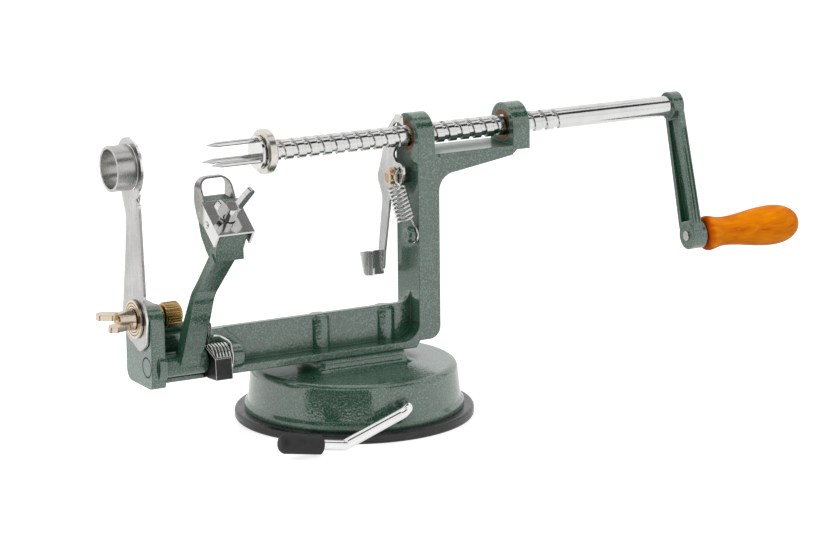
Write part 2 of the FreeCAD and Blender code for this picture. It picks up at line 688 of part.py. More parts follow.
# Rubber sleeve on the lever's end
sleeve = turned("lever_grip", [
    ("0", "rod_rad + fit_gap"),
    ("grip_long - grip_end + fit_gap", "rod_rad + fit_gap"),
    ("grip_long - grip_end + fit_gap", "0"),
    ("grip_long", "0"),
    ("grip_long", "grip_rad"),
    ("0", "grip_rad"),
])
sleeve.Placement = FreeCAD.Placement(Vector(), FreeCAD.Rotation(Vector(0, 0, 1), end_way))
put(sleeve, "knee_x - grip_from * cos(grip_tilt)", "rod_front", "knee_z + grip_from * sin(grip_tilt)")
soften(sleeve, "grip_rad * 0.7", [("-grip_rad", "0", "grip_long")])

# Base screws: slotted pan heads below the ceiling, shanks up into the frame
screws = new_body("base_screws")
profile = sketch_on(screws, "screw_profile", "XZ")
CEILING = "base_top - base_ceiling"
outline(profile, [
    ("0", CEILING + " - screw_head_high"),
    ("screw_head_rad", CEILING + " - screw_head_high"),
    ("screw_head_rad", CEILING),
    ("screw_rad", CEILING),
    ("screw_rad", CEILING + " + screw_long"),
    ("0", CEILING + " + screw_long"),
])
revolve(screws, profile)
slot = sketch_on(screws, "screw_slot", "XY", CEILING + " - screw_head_high")
outline(slot, [
    ("-screw_slot / 2", "-screw_head_rad - 1"),
    ("screw_slot / 2", "-screw_head_rad - 1"),
    ("screw_slot / 2", "screw_head_rad + 1"),
    ("-screw_slot / 2", "screw_head_rad + 1"),
])
pocket(screws, slot, "screw_head_high / 2", turned_round=True)
one_screw = screws.Shape.copy()
screws.Label = "one_base_screw"
pair = Part.makeCompound([one_screw.translated(Vector(num(name), 0, 0)) for name in ("screw_left_x", "screw_right_x")])
own_shape("base_screws", pair)

# Frame casting: beam, column and lugs, end block, bearings and bosses
SEAT = "base_top + saddle_high"
BLOCK_END = "block_x + block_thick"
casting = new_body("frame_casting")
block = sketch_on(casting, "end_block", "YZ", "block_x")
outline(block, [
    ("block_front", SEAT + " - block_drop"),
    ("block_back", SEAT + " - block_drop"),
    ("block_back", "block_top"),
    ("block_front", "block_top"),
])
pad(casting, block, "block_thick")
BLOCK_MID = "block_x + block_thick / 2"
soften(casting, "block_front_round", [(BLOCK_MID, "block_front", "block_top")])
soften(casting, "block_toe", [(BLOCK_MID, "block_front", SEAT + " - block_drop")])
soften(casting, "block_round", [
    (BLOCK_MID, "block_back", "block_top"),
    (BLOCK_MID, "block_back", SEAT + " - block_drop"),
])
spine = sketch_on(casting, "web", "XZ")
outline(spine, [
    (BLOCK_MID, SEAT),
    ("flange_end_x", SEAT),
    ("column_x + column_thick / 2", "column_low + 1"),
    ("column_x + column_thick / 2", "web_top"),
    (BLOCK_MID, "web_top"),
])
pad(casting, spine, "2 * web_half", both_ways=True)
bar = sketch_on(casting, "flange_and_column", "XZ")
outline(bar, [
    (BLOCK_END, SEAT),
    ("flange_end_x", SEAT),
    ("flange_end_x + 2", "column_low"),
    ("column_x + column_thick", "column_low"),
    ("column_x + column_thick", "shaft_high"),
    ("column_x", "shaft_high"),
    ("column_x", SEAT + " + flange_thick"),
    (BLOCK_END, SEAT + " + flange_thick"),
])
pad(casting, bar, "2 * cast_half", both_ways=True)
LUG_LOW = "bracket_top - rear_lug_drop"
arm = sketch_on(casting, "bracket", "XZ")
outline(arm, [
    ("column_x + column_thick / 2", "bracket_top - bracket_root_drop"),
    ("column_x + column_thick", "bracket_top - bracket_root_drop"),
    ("rear_lug_x - 0.6", "bracket_top - bracket_tip_drop"),
    ("rear_lug_x + 2", LUG_LOW),
    ("rear_lug_x + rear_lug_thick", LUG_LOW),
    ("rear_lug_x + rear_lug_thick", "bracket_top"),
    ("column_x + column_thick / 2", "bracket_top"),
])
pad(casting, arm, "2 * cast_half", both_ways=True)
for side, name in ((1, "back_rim"), (-1, "front_rim")):
    rim = sketch_on(casting, name, "YZ", "column_x + column_thick")
    outline(rim, [
        ("%d * (cast_half - 1)" % side, "bracket_top - rim_high"),
        ("%d * (cast_half + rim_out)" % side, "bracket_top - rim_high"),
        ("%d * (cast_half + rim_out)" % side, "bracket_top"),
        ("%d * (cast_half - 1)" % side, "bracket_top"),
    ])
    pad(casting, rim, "rear_lug_x - column_x - column_thick")
for name, left, thick in (("front_lug", "column_x", "front_lug_thick"), ("rear_lug", "rear_lug_x", "rear_lug_thick")):
    top = sketch_on(casting, name, "YZ", left)
    circle(top, "0", "shaft_high", "lug_rad")
    pad(casting, top, thick)
    if name == "rear_lug":
        neck = sketch_on(casting, "rear_lug_neck", "YZ", left)
        outline(neck, [
            ("-cast_half", LUG_LOW),
            ("cast_half", LUG_LOW),
            ("cast_half", "shaft_high"),
            ("-cast_half", "shaft_high"),
        ])
        pad(casting, neck, thick)
step = sketch_on(casting, "front_lug_step", "XZ")
outline(step, [
    ("column_x + front_lug_thick", "bracket_top"),
    ("column_x + column_thick + 1", "bracket_top"),
    ("column_x + column_thick + 1", "shaft_high + lug_rad + 1"),
    ("column_x + front_lug_thick", "shaft_high + lug_rad + 1"),
])
pocket(casting, step, "2 * cast_half + 2", both_ways=True)
soften(casting, "column_corner", [("column_x + column_thick", "0", "column_low")])
soften(casting, "bracket_round", [("column_x + column_thick", "0", "bracket_top - bracket_root_drop")])
soften(casting, "pocket_round", [("column_x", "-cast_half / 2", SEAT + " + flange_thick")])
soften(casting, "pocket_round", [("column_x", "cast_half / 2", SEAT + " + flange_thick")])
soften(casting, "web_rise", [("column_x", "0", "web_top")])
cheek = sketch_on(casting, "rear_cheek", "XZ", "-cheek_back_y")
outline(cheek, [
    (BLOCK_END, SEAT + " + 1"),
    ("cheek_end_x", SEAT + " + 1"),
    ("cheek_end_x", "web_top"),
    (BLOCK_END + " + 6", "cheek_top"),
    (BLOCK_END, "cheek_top"),
])
pad(casting, cheek, "cast_half - cheek_back_y", turned_round=True)
thick = sketch_on(casting, "thick_web", "XZ")
outline(thick, [
    (BLOCK_MID, SEAT + " + 1"),
    ("thick_web_x", SEAT + " + 1"),
    ("thick_web_x", "thick_web_z"),
    ("thick_web_x - thick_web_step", "web_top"),
    (BLOCK_MID, "web_top"),
])
pad(casting, thick, "-thick_web_y")
for name, x in (("left_boss", "screw_left_x"), ("right_boss", "screw_right_x")):
    boss = sketch_on(casting, name, "XY", SEAT + " + 1")
    circle(boss, x, "0", "boss_rad")
    pad(casting, boss, "boss_top - (" + SEAT + ") - 1")
    soften(casting, "boss_rad * 0.55", [(x, "-boss_rad", "boss_top")])
near = sketch_on(casting, "swing_boss", "YZ", BLOCK_MID)
circle(near, "swing_y", "swing_z", "swing_boss_rad")
pad(casting, near, "block_thick / 2 + swing_boss_high")
far = sketch_on(casting, "swing_lug", "YZ", "swing_lug_x")
circle(far, "swing_y", "swing_z", "swing_lug_rad")
pad(casting, far, "swing_lug_thick")
root = sketch_on(casting, "swing_lug_root", "YZ", "swing_lug_x")
outline(root, [
    ("swing_y", "swing_z - swing_lug_rad"),
    ("0", "swing_z - swing_lug_rad"),
    ("0", "swing_z + swing_lug_rad"),
    ("swing_y", "swing_z + swing_lug_rad"),
])
pad(casting, root, "swing_lug_thick")
boss = sketch_on(casting, "bolt_boss", "YZ", BLOCK_MID)
circle(boss, "bolt_y", "bolt_z", "bolt_boss_rad")
pad(casting, boss, "block_thick / 2 + bolt_boss_high")
# The flange and the thick web are relieved round the hub, the latch and the coil.
for name, left, right, radius in (
    ("hub_relief", "block_x + block_thick + swing_boss_high", "arm_hub_end_x", "arm_hub_rad + 2 * seat_gap"),
    ("coil_relief", "arm_hub_end_x", "swing_lug_x", "twist_rad + twist_wire / 2 + 2 * seat_gap"),
):
    relief = sketch_on(casting, name, "YZ", left)
    circle(relief, "swing_y", "swing_z", radius)
    pocket(casting, relief, right + " - (" + left + ")", turned_round=True)
for name, left, y, z, radius, deep in (
    ("shaft_bore", "column_x - 1", "0", "shaft_high", "shaft_rad + run_gap + bush_wall + fit_gap", None),
    ("swing_bore", "block_x - 1", "swing_y", "swing_z", "swing_rad + run_gap", "swing_lug_x + swing_lug_thick - block_x + 2"),
    ("bolt_bore", "block_x - 1", "bolt_y", "bolt_z", "bolt_rad + fit_gap", "block_thick + bolt_boss_high + 2"),
    ("pivot_bore", "column_x - 1", "release_y", "release_z", "pivot_root_rad + fit_gap", "pivot_root_deep + 1 + fit_gap"),
    ("stud_bore", "column_x - 1", "stud_y", "stud_z", "stud_root_rad + fit_gap", "stud_root_deep + 1 + fit_gap"),
):
    bore = sketch_on(casting, name, "YZ", left)
    circle(bore, y, z, radius)
    pocket(casting, bore, deep, turned_round=True)
for name, x in (("left_thread", "screw_left_x"), ("right_thread", "screw_right_x")):
    bore = sketch_on(casting, name, "XY", SEAT + " - 1")
    circle(bore, x, "0", "screw_rad + fit_gap")
    pocket(casting, bore, "screw_long - base_ceiling - saddle_high + 1 + seat_gap", turned_round=True)

# Bronze bushes, flush with the lugs
BUSH = [
    ("0", "shaft_rad + run_gap"),
    ("0", "shaft_rad + run_gap + bush_wall"),
    ("front_lug_thick", "shaft_rad + run_gap + bush_wall"),
    ("front_lug_thick", "shaft_rad + run_gap"),
]
turned("front_bush", BUSH, at=("column_x", "0", "shaft_high"))
REAR_BUSH = [(along.replace("front_lug_thick", "rear_lug_thick"), radius) for along, radius in BUSH]
turned("rear_bush", REAR_BUSH, at=("rear_lug_x", "0", "shaft_high"))

# Lead screw: rod with a right-hand helical groove, bored at its front end
# The groove's phase puts it behind the release lever's tooth, on the Y side.
pitch = num("thread_pitch")
tooth_x = num("release_x + release_thick / 2")
turns = math.ceil(num("thread_end_x - shaft_front_x") / pitch) + 1
first_x = num("thread_end_x") - turns * pitch
groove_floor = num("shaft_rad - groove_deep")
helix = Part.makeHelix(pitch, turns * pitch, groove_floor)
cutter = Part.Wire(Part.makePolygon([
    Vector(groove_floor, 0, -num("groove_wide") / 2),
    Vector(num("shaft_rad") + 0.6, 0, -num("groove_wide") / 2 - 0.3),
    Vector(num("shaft_rad") + 0.6, 0, num("groove_wide") / 2 + 0.3),
    Vector(groove_floor, 0, num("groove_wide") / 2),
    Vector(groove_floor, 0, -num("groove_wide") / 2),
]))
sweep = Part.BRepOffsetAPI.MakePipeShell(Part.Wire(helix))
sweep.setFrenetMode(True)
sweep.add(cutter, False, False)
sweep.build()
sweep.makeSolid()
groove = sweep.shape()
# The helix starts along local X; the turn below brings it to the tooth's side at the tooth's X.
phase = 360 * ((tooth_x - first_x) / pitch) - 90
groove.Placement = FreeCAD.Placement(Vector(first_x, 0, 0), FreeCAD.Rotation(Vector(0, 1, 0), 90)).multiply(
    FreeCAD.Placement(Vector(), FreeCAD.Rotation(Vector(0, 0, 1), -phase)))
# The rod is cut to length after the groove, so that the groove runs out through its end face.
spare = 3 * pitch
front_x = num("shaft_front_x")
shaft = rod_x(front_x - spare, num("shaft_rear_x"), 0, 0, num("shaft_rad")).cut(groove)
shaft = shaft.cut(rod_x(front_x - spare - 1, front_x, 0, 0, num("shaft_rad + 1")))
shaft = shaft.cut(rod_x(front_x - 1, num("shaft_front_x + tip_bore_deep"), 0, 0, num("tip_bore_rad")))
runout = rod_x(num("thread_end_x - runout_wide"), num("thread_end_x"), 0, 0, num("shaft_rad + 1"))
runout = runout.cut(rod_x(num("thread_end_x - runout_wide - 1"), num("thread_end_x + 1"), 0, 0, groove_floor))
own_shape("lead_screw", shaft.cut(runout), FreeCAD.Placement(point("0", "0", "shaft_high"), FreeCAD.Rotation()))

# Backing disc, loose on the fork's stem between the fork's hub and the shaft
turned("backing_disc", [
    ("0", "tip_bore_rad + run_gap"),
    ("0", "back_disc_rad - back_disc_edge"),
    ("back_disc_edge", "back_disc_rad"),
    ("back_disc_thick - back_disc_edge", "back_disc_rad"),
    ("back_disc_thick", "back_disc_rad - back_disc_edge"),
    ("back_disc_thick", "tip_bore_rad + run_gap"),
], at=("shaft_front_x - seat_gap - back_disc_thick", "0", "shaft_high"))

# Fork: stem in the shaft's bore, round hub and three pointed prongs
hub_x = num("shaft_front_x - 2 * seat_gap - back_disc_thick - fork_hub_thick")
fork = rod_x(hub_x, num("shaft_front_x + tip_bore_deep - seat_gap"), 0, 0, num("tip_bore_rad - fit_gap"))
fork = fork.fuse(rod_x(hub_x, hub_x + num("fork_hub_thick"), 0, 0, num("fork_hub_rad")))
for step in range(3):
    angle = math.radians(90 + 120 * step)
    y = num("prong_circle") * math.cos(angle)
    z = num("prong_circle") * math.sin(angle)
    neck_x = hub_x - num("prong_long - prong_tip")
    prong = rod_x(neck_x, hub_x + num("fork_hub_thick") / 2, y, z, num("prong_rad"))
    tip = Part.makeCone(num("prong_rad"), 0.15, num("prong_tip"), Vector(neck_x, y, z), Vector(-1, 0, 0))
    fork = fork.fuse(prong).fuse(tip)
own_shape("fork", fork.removeSplitter(), FreeCAD.Placement(point("0", "0", "shaft_high"), FreeCAD.Rotation()))

# Crank: hub, grooved arm and boss, drawn hanging down and swung to the front
crank = new_body("crank_arm")
web = sketch_on(crank, "crank_web", "YZ", "crank_x + (crank_hub_thick - crank_arm_thick) / 2")
outline(web, [
    ("-crank_arm_half", "0"),
    ("crank_arm_half", "0"),
    ("crank_arm_half", "-crank_throw"),
    ("-crank_arm_half", "-crank_throw"),
])
pad(crank, web, "crank_arm_thick")
boss = sketch_on(crank, "crank_boss", "YZ", "crank_x")
circle(boss, "0", "-crank_throw", "crank_boss_rad")
pad(crank, boss, "crank_boss_thick")
FACE = "crank_x + (crank_hub_thick - crank_arm_thick) / 2"
slant = sketch_on(crank, "face_slant", "XZ")
outline(slant, [
    (FACE, "crank_boss_rad - crank_throw"),
    (FACE + " + face_slant", "-crank_hub_rad / 2"),
    (FACE + " - 1", "-crank_hub_rad / 2"),
    (FACE + " - 1", "crank_boss_rad - crank_throw"),
])
pocket(crank, slant, "2 * crank_arm_half + 2", both_ways=True)
hub = sketch_on(crank, "crank_hub", "YZ", "crank_x")
circle(hub, "0", "0", "crank_hub_rad")
pad(crank, hub, "crank_hub_thick")
for name, offset, back, deep in (
    ("near_channel", FACE, True, "channel_deep"),
    ("far_channel", FACE + " + crank_arm_thick", False, "far_channel_deep"),
):
    channel = sketch_on(crank, name, "YZ", offset)
    outline(channel, [
        ("-channel_half", "-channel_from"),
        ("channel_half", "-channel_from"),
        ("channel_half", "-channel_till"),
        ("-channel_half", "-channel_till"),
    ])
    pocket(crank, channel, deep, turned_round=back)
bore = sketch_on(crank, "crank_bore", "YZ", "crank_x - 1")
circle(bore, "0", "0", "shaft_rad + fit_gap")
pocket(crank, bore, turned_round=True)
bore = sketch_on(crank, "crank_pin_bore", "YZ", "crank_x - 1")
circle(bore, "0", "-crank_throw", "pin_rad + fit_gap")
pocket(crank, bore, turned_round=True)
crank.Placement = FreeCAD.Placement(Vector(), FreeCAD.Rotation(Vector(1, 0, 0), -num("crank_tilt")))
crank.setExpression("Placement.Rotation.Angle", named("-crank_tilt"))
put(crank, "0", "0", "shaft_high")

# Handle pin: riveted in the crank's boss, the handle turns on it
PIN_Y = "-crank_throw * sin(crank_tilt)"
PIN_Z = "shaft_high - crank_throw * cos(crank_tilt)"
COLLAR = "pin_head_high + crank_boss_thick + fit_gap"
HANDLE = COLLAR + " + pin_collar_thick + seat_gap"
SINK = HANDLE + " + handle_long - handle_sink_deep"
turned("handle_pin", [
    ("0", "0"),
    ("0", "pin_head_rad"),
    ("pin_head_high - fit_gap", "pin_head_rad"),
    ("pin_head_high - fit_gap", "pin_rad"),
    (COLLAR, "pin_rad"),
    (COLLAR, "pin_collar_rad"),
    (COLLAR + " + pin_collar_thick", "pin_collar_rad"),
    (COLLAR + " + pin_collar_thick", "pin_rad"),
    (SINK + " + seat_gap", "pin_rad"),
    (SINK + " + seat_gap", "pin_end_rad"),
    (SINK + " + seat_gap + pin_end_high", "pin_end_rad"),
    (SINK + " + seat_gap + pin_end_high", "0"),
], at=("crank_x - pin_head_high", PIN_Y, PIN_Z))

# Handle: turned wood with a flange, a neck and a belly, bored through
long = num("handle_long")
curve = Part.BSplineCurve()
curve.interpolate(Points=[
    Vector(0, 0, num("grip_flange_rad") * 0.72),
    Vector(1.6, 0, num("grip_flange_rad")),
    Vector(num("neck_at") * 0.5, 0, (num("grip_flange_rad + grip_neck_rad")) * 0.495),
    Vector(num("neck_at"), 0, num("grip_neck_rad")),
    Vector(num("(neck_at + belly_at) / 2"), 0, num("(grip_neck_rad + grip_belly_rad) / 2 + 0.35")),
    Vector(num("belly_at"), 0, num("grip_belly_rad")),
    Vector(long - 4.2, 0, num("grip_belly_rad") * 0.86),
    Vector(long, 0, num("grip_tip_rad")),
])
half = Part.Wire([
    curve.toShape(),
    Part.makeLine(Vector(long, 0, num("grip_tip_rad")), Vector(long, 0, 0)),
    Part.makeLine(Vector(long, 0, 0), Vector(0, 0, 0)),
    Part.makeLine(Vector(0, 0, 0), Vector(0, 0, num("grip_flange_rad") * 0.72)),
])
grip = Part.Face(half).revolve(Vector(), Vector(1, 0, 0), 360)
grip = grip.cut(rod_x(-1, long + 1, 0, 0, num("pin_rad + run_gap * 2")))
grip = grip.cut(rod_x(long - num("handle_sink_deep"), long + 1, 0, 0, num("pin_end_rad + seat_gap")))
own_shape("handle_grip", grip, FreeCAD.Placement(
    point("crank_x - pin_head_high + " + HANDLE, PIN_Y, PIN_Z), FreeCAD.Rotation()))

# Release lever: stamped plate with an arc round the shaft, a tooth and a thumb tab
axis_z = num("shaft_high")
arc = num("release_arc")
lever_x = num("release_x")
sheet_t = num("release_thick")
ear_y = num("ear_y")
ear_z = num("ear_z")
tab_low = num("tab_low")
plate = sheet_across([
    (-3.2, 130.4, 0.0), (-2.6, 134.6, 1.6), (1.6, 135.2, 2.5), (10.3, 127.0, 6.0), (14.2, 117.5, 12.0),
    (17.3, 110.0, 6.0), (20.3, 103.0, 5.0), (15.4, 95.0, 8.0), (20.0, 69.5, 6.0), (18.2, tab_low, 4.0),
    (15.6, tab_low + 3.0, 1.0), (14.4, 70.0, 6.0), (8.6, 95.0, 5.0), (3.6, 97.4, 4.0),
    (ear_y - 1.2, ear_z - 6.4, 4.0), (ear_y - 3.4, ear_z - 1.2, 2.6), (ear_y - 2.6, ear_z + 3.0, 2.4),
    (2.2, 112.8, 1.5), (5.6, 115.8, 2.0), (3.2, 118.9, 0.5), (0.5, axis_z, 0.0),
], lever_x, sheet_t)
plate = plate.cut(rod_x(lever_x - 1, lever_x + sheet_t + 1, 0, axis_z, arc))
tooth_rad = num("shaft_rad - groove_deep + tooth_play")
wedge = sheet_across([
    (0.0, axis_z, 0.0),
    (arc * 1.3, axis_z - arc * 1.3 * math.tan(math.radians(num("tooth_span"))), 0.0),
    (arc * 1.3, axis_z + arc * 1.3 * math.tan(math.radians(num("tooth_span"))), 0.0),
], lever_x, sheet_t)
tooth = wedge.cut(rod_x(lever_x - 1, lever_x + sheet_t + 1, 0, axis_z, tooth_rad))
tooth = tooth.common(rod_x(lever_x - 1, lever_x + sheet_t + 1, 0, axis_z, arc + 0.5))
plate = plate.fuse(tooth)
for y, z, radius in (("release_y", "release_z", "pivot_rad + run_gap"), ("ear_y", "ear_z", "ear_hole_rad")):
    plate = plate.cut(rod_x(lever_x - 1, lever_x + sheet_t + 1, num(y), num(z), num(radius)))
ridge_x = num("(tab_x + release_x) / 2")
ridge = num("tab_ridge")
tab_y = num("tab_y")
tab_line = [
    Vector(num("tab_x"), tab_y, 0), Vector(ridge_x - 1.6, tab_y, 0), Vector(ridge_x, tab_y - ridge, 0),
    Vector(ridge_x + 1.6, tab_y, 0), Vector(lever_x + sheet_t, tab_y, 0), Vector(lever_x + sheet_t, tab_y + sheet_t, 0),
    Vector(ridge_x + 1.6, tab_y + sheet_t, 0), Vector(ridge_x, tab_y - ridge + sheet_t, 0),
    Vector(ridge_x - 1.6, tab_y + sheet_t, 0), Vector(num("tab_x"), tab_y + sheet_t, 0),
]
tab = Part.Face(Part.makePolygon(tab_line + tab_line[:1])).extrude(Vector(0, 0, num("tab_top - tab_low")))
tab.translate(Vector(0, 0, tab_low))
front = Part.Face(Part.makePolygon([
    Vector(num("tab_x + tab_slant"), 0, tab_low), Vector(lever_x + sheet_t, 0, tab_low),
    Vector(lever_x + sheet_t, 0, num("tab_top")), Vector(num("tab_x"), 0, num("tab_top")),
    Vector(num("tab_x + tab_slant"), 0, tab_low)])).extrude(Vector(0, tab_y + 5, 0))
tab = tab.common(front)
low_edges = [e for e in tab.Edges if abs(middle(e).x - num("tab_x + tab_slant")) < 0.01
             and abs(e.Length - sheet_t) < 0.01 and middle(e).z < tab_low + 0.01]
tab = tab.makeFillet(2.0, low_edges)
own_shape("release_lever", plate.fuse(tab).removeSplitter())

# Pivot of the release lever, with its domed nut, and the spring's stud
PIVOT_FROM = "release_x + release_thick + seat_gap"
turned("release_pivot", [
    ("0", "0"),
    ("0", "pivot_rad"),
    ("nut_high - 1 + release_thick + 2 * seat_gap", "pivot_rad"),
    ("nut_high - 1 + release_thick + 2 * seat_gap", "pivot_collar_rad"),
    ("nut_high - 1 + column_x - release_x + seat_gap - fit_gap", "pivot_collar_rad"),
    ("nut_high - 1 + column_x - release_x + seat_gap - fit_gap", "pivot_root_rad"),
    ("nut_high - 1 + column_x - release_x + seat_gap + pivot_root_deep", "pivot_root_rad"),
    ("nut_high - 1 + column_x - release_x + seat_gap + pivot_root_deep", "0"),
], at=("release_x - seat_gap - nut_high + 1", "release_y", "release_z"))
cap = turned("release_nut", [
    ("0", "0"),
    ("0", "nut_rad"),
    ("nut_high - nut_flange_thick", "nut_rad"),
    ("nut_high - nut_flange_thick", "nut_flange_rad"),
    ("nut_high", "nut_flange_rad"),
    ("nut_high", "pivot_rad + fit_gap"),
    ("1 - fit_gap", "pivot_rad + fit_gap"),
    ("1 - fit_gap", "0"),
], at=("release_x - seat_gap - nut_high", "release_y", "release_z"))
soften(cap, "nut_high * 0.6", [("-nut_rad", "0", "0")])
stud = turned("spring_stud", [
    ("0", "0"),
    ("0", "stud_head_rad"),
    ("stud_long - 2.2", "stud_head_rad"),
    ("stud_long - 1.8", "stud_rad"),
    ("stud_long - fit_gap", "stud_rad"),
    ("stud_long - fit_gap", "stud_root_rad"),
    ("stud_long + stud_root_deep", "stud_root_rad"),
    ("stud_long + stud_root_deep", "0"),
], at=("column_x - stud_long", "stud_y", "stud_z"))
soften(stud, "stud_head_rad * 0.5", [("-stud_head_rad", "0", "0")])

# Release spring: hook through the lever's ear, coil, hook round the stud
coil_top = point("coil_top_x", "coil_top_y", "coil_top_z")
coil_low = point("coil_low_x", "coil_low_y", "coil_low_z")
coil_way = (coil_top - coil_low).normalize()
coil_place = FreeCAD.Placement(coil_low, FreeCAD.Rotation(Vector(0, 0, 1), coil_way))
coil_long = coil_top.distanceToPoint(coil_low)
coil_pitch = coil_long / num("coil_turns")
coil_r = num("coil_rad")
wire_r = num("coil_wire") / 2
stations = []
hook_r = num("stud_rad + seat_gap") + wire_r
hook_x = num("column_x - 1.1")
for angle in (-150, -100, -50, 0, 50):
    a = math.radians(angle)
    stations.append((
        Vector(hook_x, num("stud_y") - hook_r * math.cos(a), num("stud_z") + 0.1 + hook_r * math.sin(a)),
        Vector(0, math.sin(a), math.cos(a)),
    ))
steps = int(round(num("coil_turns") * 2))
for step in range(steps + 1):
    stations.append(turn_round(
        coil_place, coil_r, math.radians(60) + math.pi * step, coil_pitch / 2 * step, coil_pitch))
ear = point("release_x + release_thick / 2", "ear_y", "ear_z")
stations.append((ear + Vector(-3.4, -1.6, -1.6), Vector(0.5, 0.45, 0.75).normalize()))
stations.append((ear + Vector(-0.4, 0, 0), Vector(1, 0.1, -0.1).normalize()))
stations.append((ear + Vector(1.8, -0.3, -1.5), Vector(0, -0.3, -1).normalize()))
spring, spring_path = wire_solid(stations, wire_r)
own_shape("release_spring", spring)
print("release spring: least gap to itself %.2f mm" % least_gap(spring_path, num("coil_wire"), 4.0))

# Swing arm: hub, flat curved bar with a rib behind it, head with the slanted seat
seat = point("head_mid_x", "seat_y", "seat_z")
tilt = math.radians(num("seat_tilt"))
along = Vector(0, math.cos(tilt), math.sin(tilt))
normal = Vector(0, -math.sin(tilt), math.cos(tilt))
hub_left = num("block_x + block_thick + swing_boss_high + seat_gap")
hub_right = num("arm_hub_end_x")
pivot_y = num("swing_y")
pivot_z = num("swing_z")
swing = rod_x(hub_left, hub_right, pivot_y, pivot_z, num("arm_hub_rad"))
bar_x = num("arm_x")
bar_w = num("arm_wide")
bar = sheet_across([
    (pivot_y - 5.2, pivot_z - 1.0, 1.0), (-20.2, 45.1, 30.0), (-27.7, 61.0, 60.0), (-32.0, 71.6, 20.0),
    (-52.6, 91.0, 0.0), (-49.6, 94.2, 0.0), (-28.6, 72.8, 14.0), (-17.3, 53.9, 22.0), (-13.6, 45.0, 8.0),
    (pivot_y + 1.0, pivot_z + 4.0, 1.0),
], bar_x, bar_w)
rib_w = num("arm_rib_wide")
rib = sheet_across([
    (-15.5, 46.0, 0.0), (-18.8, 54.0, 10.0), (-30.0, 72.5, 10.0), (-50.5, 93.0, 0.0),
    (-45.2, 96.5, 0.0), (-25.2, 74.4, 12.0), (-13.6, 55.5, 14.0), (-9.5, 42.5, 0.0),
], bar_x + bar_w / 2 - rib_w / 2, rib_w)
half_seat = num("seat_half")
seat_front = seat - along * (half_seat - 1.2)
nose = seat + along * num("nose_long") - normal * 2.5
head = sheet_across([
    (-53.4, 91.2, 0.5), (-53.0, 95.7, 1.5), (seat_front.y, seat_front.z, 1.2),
    (seat.y + along.y * half_seat, seat.z + along.z * half_seat, 6.0), (nose.y, nose.z, 3.0),
    (nose.y + 2.0, nose.z - 5.0, 2.5), (-36.3, 105.8, 5.0), (-38.4, 100.0, 5.0), (-43.6, 93.9, 5.0),
    (-47.9, 90.5, 0.0),
], num("head_mid_x - head_half"), num("head_half * 2"))
seat_frame = FreeCAD.Placement(seat, FreeCAD.Rotation(Vector(1, 0, 0), along, normal, "XYZ"))
half = num("head_half")
nose_plan = rounded_face([
    (-half, -30.0, 0.0), (half, -30.0, 0.0), (half, num("nose_long + 0.6"), half - 0.1),
    (-half, num("nose_long + 0.6"), half - 0.1)]).extrude(Vector(0, 0, 60))
nose_plan.Placement = seat_frame.multiply(FreeCAD.Placement(Vector(0, 0, -30), FreeCAD.Rotation()))
head = head.common(nose_plan)
swing = swing.fuse(bar).fuse(rib).fuse(head)
swing = swing.cut(rod_x(hub_left - 1, hub_right + 1, pivot_y, pivot_z, num("swing_rad + fit_gap")))
screw_hole = Part.makeCylinder(num("wing_screw_rad + run_gap"), num("wing_screw_deep + seat_gap + 2"),
                               seat + normal * 2, normal * -1)
own_shape("peeling_arm", swing.cut(screw_hole).removeSplitter())

# Shaft of the swing arm, pressed in its hub, flush with the end block
turned("arm_shaft", [
    ("0", "0"),
    ("0", "swing_rad"),
    ("swing_lug_x + swing_lug_thick - block_x", "swing_rad"),
    ("swing_lug_x + swing_lug_thick - block_x", "0"),
], at=("block_x", "swing_y", "swing_z"))

# Latch: bent sheet on the swing arm's shaft, with a tab at its front
latch_x = num("latch_x")
latch_t = num("latch_thick")
latch_top_y = num("latch_top_y")
latch_top_z = num("latch_top_z")
latch_low_y = num("latch_low_y")
latch_low_z = num("latch_low_z")
latch = sheet_across([
    (-16.2, 55.0, 1.2), (-12.8, 55.4, 1.0), (-6.0, 44.0, 6.0), (-3.7, 37.0, 6.0), (-7.2, 31.3, 3.0),
    (-14.0, 30.0, 2.0), (latch_low_y, latch_low_z, 0.0), (latch_top_y, latch_top_z, 0.6),
    (-11.2, 43.9, 0.6), (-15.5, 49.7, 1.0),
], latch_x, latch_t)
tab = sheet_across([
    (latch_top_y, latch_top_z, 0.0), (latch_low_y, latch_low_z, 0.0),
    (latch_low_y + latch_t, latch_low_z, 0.0), (latch_top_y + latch_t, latch_top_z + 0.4, 0.0),
], latch_x, num("latch_tab_long"))
latch = latch.fuse(tab)
latch = latch.cut(rod_x(latch_x - 1, latch_x + latch_t + 1, pivot_y, pivot_z, num("swing_rad + run_gap")))
own_shape("latch_lever", latch.removeSplitter())

# Arm spring: wound wire round the swing arm's shaft, with two straight legs
twist_place = FreeCAD.Placement(Vector(num("twist_x"), pivot_y, pivot_z), FreeCAD.Rotation(Vector(0, 1, 0), 90))
twist_r = num("twist_rad")
twist_pitch = num("twist_pitch")
start_angle = math.radians(240)
first_spot, first_way = turn_round(twist_place, twist_r, start_angle, 0, -twist_pitch)
stations = [
    (Vector(latch_x + latch_t + 0.9, -15.6, 49.2), Vector(1, 0.1, -0.15).normalize()),
    (Vector(first_spot.x - 3.6, -14.0, 47.4), Vector(1, 0, -0.55).normalize()),
    (first_spot - first_way * 3.0, first_way),
]
for step in range(int(round(num("twist_turns") * 2)) + 1):
    stations.append(turn_round(
        twist_place, twist_r, start_angle + math.pi * step, -twist_pitch / 2 * step, -twist_pitch))
last_spot, last_way = stations[-1]
stations.append((last_spot + last_way * 5.0, last_way))
twist, twist_path = wire_solid(stations, num("twist_wire") / 2)
own_shape("arm_spring", twist)
print("arm spring: least gap to itself %.2f mm" % least_gap(twist_path, num("twist_wire"), 6.0))

